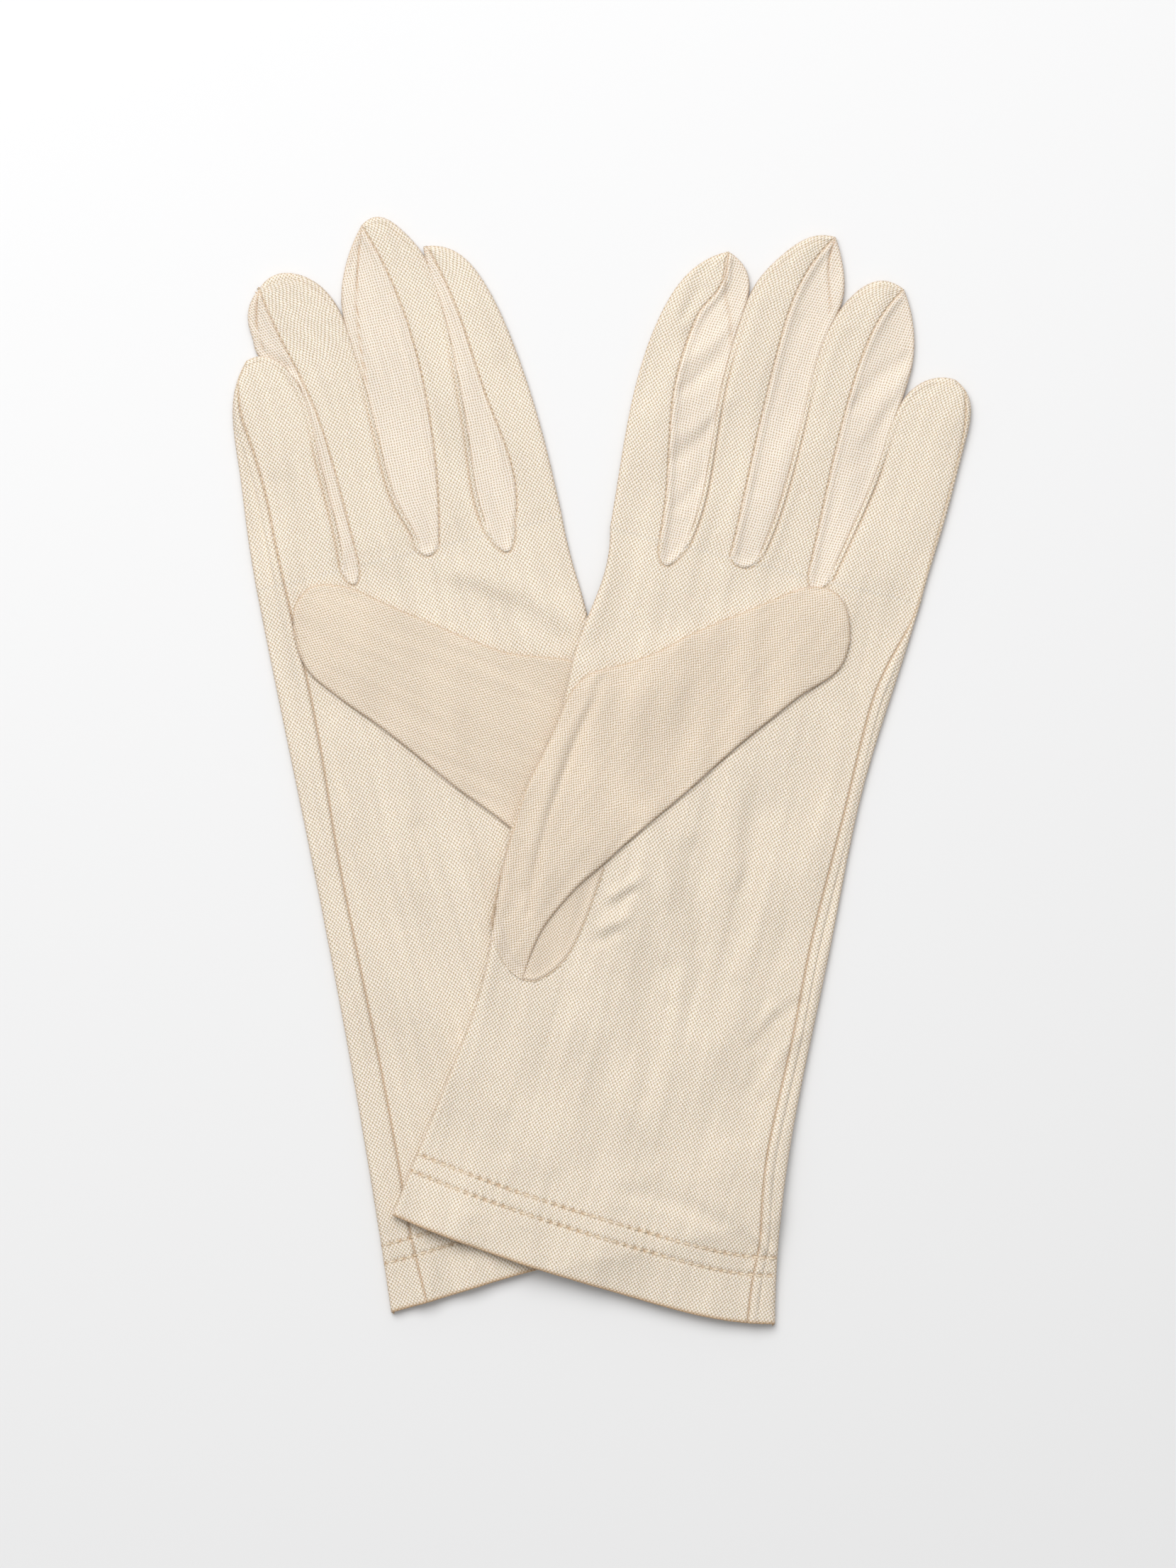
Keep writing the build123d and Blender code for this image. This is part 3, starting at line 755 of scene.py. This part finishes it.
# ------------------------------------------------------------------------------ hand
def hand_grid(hand):
    """Pattern points of the palm, and of the back, between the knuckles and the cuff."""
    start, end = hand.index_side, hand.little_side
    rows = spaced(lengths(start)[-1], 1.05, (9.0, 0.45), (19.0, 0.5))
    last = (rows[-1] - rows[-2]) * np.array([0.6, 0.3, 0.12])
    rows = np.sort(np.r_[rows, rows[-1] - last])
    a, b = at(start, rows), at(end, rows)
    seam = np.ones(len(rows))
    for _ in range(6):
        along = a[:, 1] + (b[:, 1] - a[:, 1]) * seam
        seam_across = np.interp(along, hand.side_seam[::-1, 1], hand.side_seam[::-1, 0])
        seam = np.clip((a[:, 0] - seam_across) / (a[:, 0] - b[:, 0]), 0.5, 0.995)

    marks = list(EDGE_STEPS)
    width = seam[0] * (a[0, 0] - b[0, 0])
    while marks[-1] < width - SEAM_STEPS[-1] - 0.5:
        across = a[0, 0] - marks[-1]
        fine = any(line[:, 0].min() - 0.6 < across < line[:, 0].max() + 0.6
                   for line in hand.crotches)
        marks.append(marks[-1] + (0.42 if fine else 0.85))
    marks = np.array(marks[:-1] + list(width - SEAM_STEPS[::-1])) / width
    before = seam[:, None] * marks
    full = np.linalg.norm(b - a, axis=1)
    room = full * (1 - seam)
    after = seam[:, None] + offsets(room, SEAM_STEPS, EDGE_STEPS, 3)[:, 1:] / full[:, None]
    back = np.r_[EDGE_STEPS, np.linspace(3.0, full[0] - 3.0, 34),
                 full[0] - EDGE_STEPS[::-1]] / full[0]

    def patch(share):
        straight = hand.cuff[0] + (hand.cuff[-1] - hand.cuff[0]) * share[..., None]
        bow = (at(hand.cuff, share) - straight) * rows[:, None, None] ** 2
        return a[:, None] + (b - a)[:, None] * share[..., None] + bow

    under = np.broadcast_to(back[::-1][1:-1], (len(rows), len(back) - 2))
    return patch(np.concatenate([before, after], 1)), patch(under), rows


def build_hand(hand, bed):
    """The palm and back as one cut of cloth, with its hem and the slits' bottoms."""
    glove = hand.glove
    palm, back, rows = hand_grid(hand)
    height, shade = hand.surface(palm)
    edge = hand.edge_distance(back)
    under = POUCH / 2 * (1 - rounded(edge, EDGE_RADIUS)) + OFF_TABLE
    from_cuff = nearest(back, hand.cuff)
    under += 0.4 * (1 - rounded(from_cuff, CLOTH))
    # painted shade where the back turns over an edge and along the cuff
    back_shade = np.maximum(EDGE_SHADE * bump(edge, 0.0, 0.7), 0.8 * bump(from_cuff, 0.0, 0.6))
    flat = with_shade(np.concatenate([palm, back], 1), np.concatenate([shade, back_shade], 1))
    ring = raised(glove, flat[..., :2], np.concatenate([height, under], 1), bed)
    thin = 0.05 + (CLOTH - 0.05) * step_up(-flat[..., 1:2], 0.2, 1.6)
    inside = inner_of(ring, thin)
    body = f"{glove}_hand"
    piece = slab(f"{body}_cloth", ring, inside, flat, around=True)
    finish_cloth(piece, "glove_knit")
    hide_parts(*[f"{glove}_{n}" for n in ("back", "palm", "folded_edge", "side_seam")])
    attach(piece, body)
    build_hem(hand, ring, flat, rows)
    build_crotches(hand, bed)
    return ring


def build_hem(hand, ring, flat, rows):
    """The turned-in hem inside the cuff."""
    glove = hand.glove
    total = lengths(hand.index_side)[-1]
    deep = rows > 1 - HEM_DEPTH / total
    strip = ring[deep]
    facing = normals(ring)[deep]
    hem = slab(f"{glove}_hem_cloth", strip - facing * (CLOTH + 0.02),
               strip - facing * (2 * CLOTH), flat[deep], around=True)
    finish_cloth(hem, "glove_knit")
    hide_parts(f"{glove}_hem_back", f"{glove}_hem_palm")
    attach(hem, f"{glove}_hand")


def build_hem_stitches(hand, bed):
    """Two rows of stitches across the palm, above the cuff edge; gives back their tops."""
    glove = hand.glove
    pieces = []
    for row in HEM_ROWS:
        line = at(hand.cuff, np.linspace(0.02, 0.98, 160)) + np.array([0.0, row])
        pieces.append(raised(glove, line, hand.top(line) + 0.10, bed))
    threads = stitches(f"{glove}_hem_stitches", pieces, 1.5, STITCH_PITCH - 1.5, HEM_THREAD)
    finish_thread(threads)
    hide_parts(f"{glove}_hem_stitching")
    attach(threads, f"{glove}_hand")
    return np.concatenate(pieces) + np.array([0.0, 0.0, HEM_THREAD])


def build_crotches(hand, bed):
    """The bottoms of the side strips, seen inside the slits between the fingers."""
    glove = hand.glove
    points = []
    for line in hand.crotches:
        low = line[line[:, 1] <= 0.35]
        half = int(np.argmin(low[:, 1]))
        seam_leg, edge_leg = low[:half + 1][::-1], low[half:]
        share = np.linspace(0, 1, 14)
        left, right = at(seam_leg, share), at(edge_leg, share)
        inset = np.linspace(0.12, 0.88, 12)[None, :, None]
        flat = left[:, None] + (right - left)[:, None] * inset
        flat = flat + np.array([0.0, 0.25])
        height, shade = hand.surface(flat)
        outer = raised(glove, flat, height + 0.1, bed)
        inner = outer - np.array([0.0, 0.0, CLOTH])
        points.append((outer, inner, with_shade(flat, shade)))
    pieces = [slab(f"{glove}_crotch_{i}", o, n, k) for i, (o, n, k) in enumerate(points)]
    joined = join(pieces, f"{glove}_crotch_fourchettes")
    finish_cloth(joined, "fourchette_knit")
    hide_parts(f"{glove}_fourchette_crotches")
    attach(joined, f"{glove}_hand")


def join(pieces, name):
    """Several meshes as one piece."""
    work = bmesh.new()
    for piece in pieces:
        work.from_mesh(piece.data)
    mesh = bpy.data.meshes.new(name)
    work.to_mesh(mesh)
    work.free()
    mesh.shade_smooth()
    for piece in pieces:
        bpy.data.objects.remove(piece)
    joined = bpy.data.objects.new(name, mesh)
    bpy.context.scene.collection.objects.link(joined)
    return joined


# ----------------------------------------------------------------------------- thumb
def thumb_grid(upper, lower, base):
    """Pattern points of the thumb's upper and under side, from its foot to its tip."""
    rows = spaced(lengths(lower)[-1], 1.0, (6.0, 0.5), (8.0, 0.5))
    fade = (1 - step_up(rows, 0.0, 0.18))[:, None, None]

    def patch(start, end, flip, middle):
        grid = across_rows(start, end, EDGE_STEPS, EDGE_STEPS, middle)
        share = np.linalg.norm(grid[0] - start[0], axis=1)
        share = share / max(share[-1], 1e-6)
        if flip:
            share = 1 - share
        straight = base[0] + (base[-1] - base[0]) * share[:, None]
        return grid + (at(base, share) - straight)[None] * fade

    a, b = at(upper, rows), at(lower, rows)
    return patch(a, b, False, 54), patch(b, a, True, 12)[:, 1:-1]


def thumb_surface(hand, top, under, upper, lower, base):
    """Heights of the thumb's upper and under side, and the shade of both."""
    upper_gap, lower_gap, base_gap = (nearest(top, line) for line in (upper, lower, base))
    side_gap = np.minimum(upper_gap, lower_gap)
    foot = 1 - step_up(base_gap, 0.0, THUMB_FOOT)
    radius = THUMB_RADIUS + (1 - step_up(top[..., 1], -62.0, -40.0)) * 2.2
    from_edge = np.where(upper_gap < lower_gap, upper_gap / radius, lower_gap / THUMB_RADIUS)
    rise = rounded(from_edge, 1.0)
    rise = rise * (0.06 + 0.94 * step_up(base_gap, 0.0, THUMB_FOOT))
    height = hand.top(top) + THUMB_GAP + THUMB_POUCH * (0.5 + 0.5 * rise)
    height -= 0.5 * THUMB_POUCH * foot
    calm = step_up(side_gap, 0.0, 2.5) * step_up(base_gap, 0.0, 6.0)
    height += calm * (folds(top, THUMB_FOLDS[hand.glove]) + 0.6 * ripple(top, hand.seed + 20))
    height += calm * 0.25 * step_up(side_gap, 1.0, 9.0)
    height -= 0.28 * bump(base_gap, 0.0, 0.4)
    height += 0.22 * bump(base_gap, 0.9, 0.7)
    under_gap = np.minimum(nearest(under, upper), nearest(under, lower))
    at_palm = step_up(nearest(under, base), 0.0, THUMB_FOOT)
    low = hand.top(under) + THUMB_GAP
    low = low + 0.5 * THUMB_POUCH * (1 - rounded(under_gap, THUMB_RADIUS)) * at_palm
    # painted shade along the thumb's edges, its base seam and the under side's edges
    shades = [0.7 * bump(gap, 0.0, 0.7) for gap in (np.minimum(side_gap, base_gap), under_gap)]
    return np.concatenate([height, low], 1), np.concatenate(shades, 1)


def build_thumb(hand, bed):
    """The thumb laid over the palm, one pouch from its foot to its tip."""
    glove = hand.glove
    upper, lower, base = (smooth(line) for line in (THUMB[glove]["upper"],
                                                    THUMB[glove]["lower"], THUMB_BASE))
    top, under = thumb_grid(upper, lower, base)
    height, shade = thumb_surface(hand, top, under, upper, lower, base)
    flat = np.concatenate([top, under], 1)
    ring = raised(glove, flat, height, bed)
    turn = math.radians(INDEX_SIDE[glove] * 14.0 + 38.0)
    knit = np.stack([flat[..., 0] * math.cos(turn) + flat[..., 1] * math.sin(turn),
                     flat[..., 1] * math.cos(turn) - flat[..., 0] * math.sin(turn), shade], -1)
    piece = slab(f"{glove}_thumb_cloth", ring, inner_of(ring, THUMB_CLOTH), knit, around=True)
    finish_cloth(piece, "thumb_knit")
    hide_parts(*[f"{glove}_thumb_{n}" for n in ("back", "front", "edges", "foot")])
    bend_thumb(piece)
    return ring


def bend_thumb(piece):
    """Bakes the piece's placement into its mesh."""
    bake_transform(piece)


def build_thumb_seam(hand, bed):
    """The flat part of the thumb's cloth beside its foot, and the seam that sets it in;
    gives back their tops."""
    glove = hand.glove
    hidden = smooth(GUSSET_HIDDEN, 1.0)
    seam = smooth(GUSSET_SEAM, 1.0)
    rows = spaced(lengths(seam)[-1], 0.9, (4.0, 0.5), (4.0, 0.5))
    flat = across_rows(at(seam, rows), at(hidden, rows), SEAM_STEPS, EDGE_STEPS[:3], 6)
    gap = nearest(flat, seam)
    height = hand.top(flat) + 0.06 + 0.10 * step_up(gap, 0.0, 0.5)
    height += 0.22 * bump(gap, 0.85, 0.7) + 0.25 * step_up(gap, 2.0, 7.0)
    outer = raised(glove, flat, height, bed)
    inner = outer - np.array([0.0, 0.0, THUMB_CLOTH])
    # painted shade along the gusset's seam
    piece = slab(f"{glove}_thumb_gusset_cloth", outer, inner,
                 with_shade(flat, bump(gap, 0.0, 0.5)))
    finish_cloth(piece, "thumb_knit")
    if glove == "left":
        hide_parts("left_thumb_gusset")
    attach(piece, f"{glove}_hand")
    line = np.concatenate([smooth(THUMB_BASE, 0.8), seam[1:]])
    path = raised(glove, line, hand.top(line) + 0.14, bed)
    threads = stitches(f"{glove}_thumb_seam_stitches", [path], 1.3, 0.6, SEAM_THREAD)
    finish_thread(threads)
    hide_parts(f"{glove}_thumb_seam")
    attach(threads, f"{glove}_hand")
    return np.concatenate([path + np.array([0.0, 0.0, SEAM_THREAD]), outer.reshape(-1, 3)])


# ---------------------------------------------------------------------------- thread
STITCH_SIDES = 6
STITCH_SWELL = np.array([0.25, 0.85, 1.0, 0.85, 0.25])
STITCH_RISE = np.array([-0.08, 0.02, 0.06, 0.02, -0.08])


def one_stitch(path, where, angle, radius):
    """Rings of points round one stitch, at fractions of its path's length."""
    middle = at(path, np.clip(where, 0, 1))
    ahead = middle[-1] - middle[0]
    ahead /= max(np.linalg.norm(ahead), 1e-9)
    side = np.cross(ahead, (0, 0, 1.0))
    side /= max(np.linalg.norm(side), 1e-9)
    up = np.cross(side, ahead)
    circle = np.cos(angle)[:, None] * side + 0.8 * np.sin(angle)[:, None] * up
    swell = STITCH_SWELL[:, None, None] * radius
    return middle[:, None] + circle[None] * swell + STITCH_RISE[:, None, None] * up


def stitches(name, paths, length, gap, radius):
    """Short raised stitches along several paths."""
    rings = len(STITCH_SWELL)
    angle = np.arange(STITCH_SIDES) * 2 * math.pi / STITCH_SIDES
    points, faces, knit, count = [], [], [], 0
    for path in paths:
        total = lengths(path)[-1]
        for i in range(int(total / (length + gap))):
            start = (i + 0.5) * (length + gap) - length / 2
            where = np.linspace(start, start + length, rings) / total
            points.append(one_stitch(path, where, angle, radius).reshape(-1, 3))
            index = count + np.arange(rings * STITCH_SIDES).reshape(rings, STITCH_SIDES)
            index = np.c_[index, index[:, :1]]
            faces.append(np.stack([index[:-1, :-1], index[:-1, 1:], index[1:, 1:],
                                   index[1:, :-1]], -1).reshape(-1, 4))
            for end in (index[0], index[-1]):
                faces.append(np.array([end[:4], end[[0, 3, 4, 5]]]))
            along = np.repeat(where * total, STITCH_SIDES)
            knit.append(np.stack([np.tile(angle, rings), along, 0 * along], -1))
            count += rings * STITCH_SIDES
    return make_mesh(name, np.concatenate(points), np.concatenate(faces),
                     np.concatenate(knit))


# ------------------------------------------------------------------------- materials
class Nodes:
    """Short names for making shader nodes."""

    def __init__(self, name):
        self.material = bpy.data.materials.new(name)
        self.material.use_nodes = True
        self.tree = self.material.node_tree
        self.shader = self.tree.nodes["Principled BSDF"]

    def add(self, kind, **settings):
        node = self.tree.nodes.new(kind)
        for key, value in settings.items():
            setattr(node, key, value)
        return node

    def link(self, source, target):
        self.tree.links.new(source, target)

    def math(self, operation, first, second=None, third=None):
        node = self.add("ShaderNodeMath", operation=operation)
        for socket, value in zip(node.inputs, (first, second, third)):
            if value is None:
                continue
            if isinstance(value, (int, float)):
                socket.default_value = value
            else:
                self.link(value, socket)
        return node.outputs[0]

    def noise(self, vector, scale, detail=2.0):
        node = self.add("ShaderNodeTexNoise")
        node.inputs["Scale"].default_value = scale
        node.inputs["Detail"].default_value = detail
        self.link(vector, node.inputs["Vector"])
        return node.outputs["Fac"]

    def bump(self, height, relief):
        """Raises the surface by up to relief millimetres."""
        node = self.add("ShaderNodeBump")
        node.inputs["Strength"].default_value = 1.0
        node.inputs["Distance"].default_value = relief * MM
        self.link(height, node.inputs["Height"])
        self.link(node.outputs["Normal"], self.shader.inputs["Normal"])

    def mix(self, share, first, second):
        node = self.add("ShaderNodeMix", data_type="RGBA")
        self.link(share, node.inputs["Factor"])
        for name, value in (("A", first), ("B", second)):
            socket = [s for s in node.inputs if s.name == name and s.type == "RGBA"][0]
            if isinstance(value, tuple):
                socket.default_value = (*value, 1.0)
            else:
                self.link(value, socket)
        return [s for s in node.outputs if s.type == "RGBA"][0]


def wandering(n, place):
    """Across and along in the knit, a little uneven as real rows are."""
    wander = n.add("ShaderNodeTexNoise")
    wander.inputs["Scale"].default_value = 0.35
    wander.inputs["Detail"].default_value = 3.0
    n.link(place, wander.inputs["Vector"])
    centred = n.add("ShaderNodeVectorMath", operation="SUBTRACT")
    n.link(wander.outputs["Color"], centred.inputs[0])
    centred.inputs[1].default_value = (0.5, 0.5, 0.5)
    scaled = n.add("ShaderNodeVectorMath", operation="SCALE")
    n.link(centred.outputs["Vector"], scaled.inputs[0])
    scaled.inputs["Scale"].default_value = 0.9
    moved = n.add("ShaderNodeVectorMath", operation="ADD")
    n.link(place, moved.inputs[0])
    n.link(scaled.outputs["Vector"], moved.inputs[1])
    split = n.add("ShaderNodeSeparateXYZ")
    n.link(moved.outputs["Vector"], split.inputs[0])
    return split.outputs["X"], split.outputs["Y"]


def knit_height(n, place, pitch, staggered):
    """How high the yarn stands, from about 0 in a gap to 1 on a stitch."""
    x, y = wandering(n, place)
    rows = n.math("COSINE", n.math("MULTIPLY", y, 4 * math.pi / pitch[1]))
    wave_x = n.math("COSINE", n.math("MULTIPLY", x, 2 * math.pi / pitch[0]))
    wave_y = n.math("COSINE", n.math("MULTIPLY", y, 2 * math.pi / pitch[1]))
    if staggered:
        stitch = n.math("MULTIPLY_ADD", n.math("MULTIPLY", wave_x, wave_y), 0.5, 0.5)
    else:
        stitch = n.math("MULTIPLY_ADD", n.math("ADD", wave_x, wave_y), 0.25, 0.5)
    stitch = n.math("MULTIPLY_ADD", rows, 0.10, stitch)
    fuzz = n.noise(place, 2.2)
    return n.math("MULTIPLY_ADD", n.math("SUBTRACT", fuzz, 0.5), 0.30, stitch)


def knit_tone(n, place):
    """Brightness of the cloth: long pale streaks and broad patches."""
    stretch = n.add("ShaderNodeVectorMath", operation="MULTIPLY")
    n.link(place, stretch.inputs[0])
    stretch.inputs[1].default_value = (0.45, 0.03, 1.0)
    streak = n.noise(stretch.outputs["Vector"], 1.0)
    patch = n.noise(place, 0.05, 3.0)
    tone = n.math("MULTIPLY_ADD", streak, 0.16, 0.84)
    return n.math("MULTIPLY", tone, n.math("MULTIPLY_ADD", patch, 0.16, 0.95))


def knit_material(name, yarn, gap, pitch, staggered, relief):
    """Rows of small round stitches, from the cloth's own coordinates in millimetres."""
    n = Nodes(name)
    place = n.add("ShaderNodeAttribute", attribute_name="knit").outputs["Vector"]
    stitch = knit_height(n, place, pitch, staggered)
    spread = n.add("ShaderNodeMapRange", interpolation_type="SMOOTHSTEP")
    n.link(stitch, spread.inputs["Value"])
    spread.inputs["From Min"].default_value = 0.05
    spread.inputs["From Max"].default_value = 0.62
    colour = n.mix(spread.outputs["Result"], gap, yarn)
    # Painted shade: the knit attribute's third part mixes the colour towards a dark golden brown
    # in the seams, between the hem's stitches and where the cloth turns over an edge.
    shade = n.add("ShaderNodeSeparateXYZ")
    n.link(place, shade.inputs[0])
    painted_shade_colour = (0.90 * gap[0], 0.66 * gap[1], 0.42 * gap[2])
    shaded = n.mix(n.math("MULTIPLY", shade.outputs["Z"], 0.46), colour, painted_shade_colour)
    hue = n.add("ShaderNodeHueSaturation")
    n.link(shaded, hue.inputs["Color"])
    n.link(knit_tone(n, place), hue.inputs["Value"])
    n.link(hue.outputs["Color"], n.shader.inputs["Base Color"])
    n.link(n.math("MULTIPLY_ADD", stitch, -0.22, 0.92), n.shader.inputs["Roughness"])
    n.bump(stitch, relief)
    for socket, value in (("Subsurface Weight", 0.10), ("Subsurface Radius", (1.0, 0.6, 0.35)),
                          ("Subsurface Scale", 0.0012), ("Sheen Weight", 0.25),
                          ("Sheen Roughness", 0.45), ("Specular IOR Level", 0.25)):
        n.shader.inputs[socket].default_value = value
    return n.material


def thread_material(name, colour):
    """Twisted sewing thread."""
    n = Nodes(name)
    place = n.add("ShaderNodeAttribute", attribute_name="knit").outputs["Vector"]
    split = n.add("ShaderNodeSeparateXYZ")
    n.link(place, split.inputs[0])
    twist = n.math("ADD", split.outputs["X"], n.math("MULTIPLY", split.outputs["Y"], 14.0))
    ply = n.math("MULTIPLY_ADD", n.math("SINE", twist), 0.5, 0.5)
    dark = tuple(0.72 * c for c in colour)
    n.link(n.mix(ply, dark, colour), n.shader.inputs["Base Color"])
    n.bump(ply, 0.03)
    n.link(n.math("MULTIPLY_ADD", ply, -0.2, 0.7), n.shader.inputs["Roughness"])
    return n.material


def floor_material():
    """A plain, nearly white table top."""
    n = Nodes("pale_table")
    coordinates = n.add("ShaderNodeTexCoord").outputs["Object"]
    n.link(n.mix(n.noise(coordinates, 3.0), (0.738, 0.738, 0.741), (0.748, 0.748, 0.748)),
           n.shader.inputs["Base Color"])
    n.shader.inputs["Roughness"].default_value = 0.9
    n.shader.inputs["Specular IOR Level"].default_value = 0.1
    return n.material


MATERIALS = {
    "glove_knit": knit_material("glove_knit", (0.885, 0.79, 0.685), (0.475, 0.375, 0.235),
                                (0.92, 1.12), True, 0.15),
    "thumb_knit": knit_material("thumb_knit", (0.825, 0.71, 0.60), (0.445, 0.34, 0.205),
                                (0.80, 0.96), True, 0.10),
    "fourchette_knit": knit_material("fourchette_knit", (0.835, 0.745, 0.65),
                                     (0.52, 0.415, 0.29), (0.66, 0.68), False, 0.08),
    "sewing_thread": thread_material("sewing_thread", (0.80, 0.67, 0.50)),
}


def finish_cloth(piece, slot):
    """Gives a piece of cloth its material."""
    piece.data.materials.append(MATERIALS[slot])


def finish_thread(piece):
    """Thread material."""
    piece.data.materials.append(MATERIALS["sewing_thread"])


# ----------------------------------------------------------------------- bed of cloth
BED_STEP = 1.0
BED_MARGIN = 12.0
BED_ROUNDS = 1400
BED_SAG = 0.9985        # how much of its height the hanging cloth keeps each round


def table_bed(place):
    """The lower glove lies on the table."""
    return np.zeros(place.shape[:-1])


def draped_bed(rings):
    """Height of the cloth's underside where it lies over the given surfaces: it rests on
    them, stretches a little from their edges and comes down to the table."""
    points = np.concatenate([ring.reshape(-1, 3) for ring in rings])
    low = np.array([cad_low.x, cad_low.y]) / MM - BED_MARGIN
    high = np.array([cad_high.x, cad_high.y]) / MM + BED_MARGIN
    shape = np.ceil((high - low) / BED_STEP).astype(int) + 1
    solid = np.zeros(shape)
    cell = np.round((points[:, :2] - low) / BED_STEP).astype(int)
    np.maximum.at(solid, (cell[:, 0], cell[:, 1]), points[:, 2] + BED_GAP)
    for axis in (0, 1):
        beside = np.maximum(np.roll(solid, 1, axis), np.roll(solid, -1, axis))
        solid = np.maximum(solid, beside)
    cloth = solid.copy()
    for _ in range(BED_ROUNDS):
        around = (np.roll(cloth, 1, 0) + np.roll(cloth, -1, 0)
                  + np.roll(cloth, 1, 1) + np.roll(cloth, -1, 1)) / 4
        cloth = np.maximum(solid, around * BED_SAG)

    def bed(place):
        where = (place - low) / BED_STEP
        cell = np.clip(np.floor(where).astype(int), 0, np.array(shape) - 2)
        fx, fy = np.moveaxis(np.clip(where - cell, 0, 1), -1, 0)
        i, j = cell[..., 0], cell[..., 1]
        return (cloth[i, j] * (1 - fx) * (1 - fy) + cloth[i + 1, j] * fx * (1 - fy)
                + cloth[i, j + 1] * (1 - fx) * fy + cloth[i + 1, j + 1] * fx * fy)

    return bed


def build_glove(glove, bed):
    """Everything of one glove; gives back its surfaces."""
    hand = Hand(glove)
    surfaces = [build_hand(hand, bed), build_hem_stitches(hand, bed)]
    for name in FINGERS:
        surfaces.append(build_finger(hand, name, bed))
    surfaces += [build_thumb(hand, bed), build_thumb_seam(hand, bed)]
    return surfaces


# ----------------------------------------------------------------------------- stage
VIEW_HEIGHT = 0.39816                   # metres of table from the top of the view to the foot
VIEW_MIDDLE = (-0.00396, -0.00288)
LIGHTS = (("key", (-0.38, 0.68, 1.17), 1.0, 14.3),      # name, place, size and power
          ("top", (0.15, 0.95, 1.6), 1.6, 11.0))


def build_stage():
    """A pale table, soft light from the upper left and a camera looking straight down."""
    bpy.ops.mesh.primitive_plane_add(size=6, location=(0, 0, -0.00005))
    floor = bpy.context.object
    floor.name = "table"
    floor.data.materials.append(floor_material())

    scene = bpy.context.scene
    scene.view_settings.view_transform = "Standard"
    world = bpy.data.worlds.new("studio")
    world.use_nodes = True
    background = world.node_tree.nodes["Background"]
    background.inputs["Color"].default_value = (1.0, 1.0, 1.0, 1.0)
    background.inputs["Strength"].default_value = 0.47
    scene.world = world

    for name, place, size, power in LIGHTS:
        light = bpy.data.lights.new(name, "AREA")
        light.size = size
        light.energy = power
        lamp = bpy.data.objects.new(name, light)
        lamp.location = place
        lamp.rotation_euler = (-lamp.location).to_track_quat("-Z", "Y").to_euler()
        scene.collection.objects.link(lamp)

    camera_data = bpy.data.cameras.new("camera")
    camera_data.lens = 150.0
    camera_data.sensor_width = 36.0
    camera = bpy.data.objects.new("camera", camera_data)
    distance = VIEW_HEIGHT * camera_data.lens / camera_data.sensor_width
    camera.location = (*VIEW_MIDDLE, distance)
    camera_data.clip_end = 20.0
    scene.collection.objects.link(camera)
    scene.camera = camera


build_stage()
lower_surfaces = build_glove("right", table_bed)
build_glove("left", draped_bed(lower_surfaces))
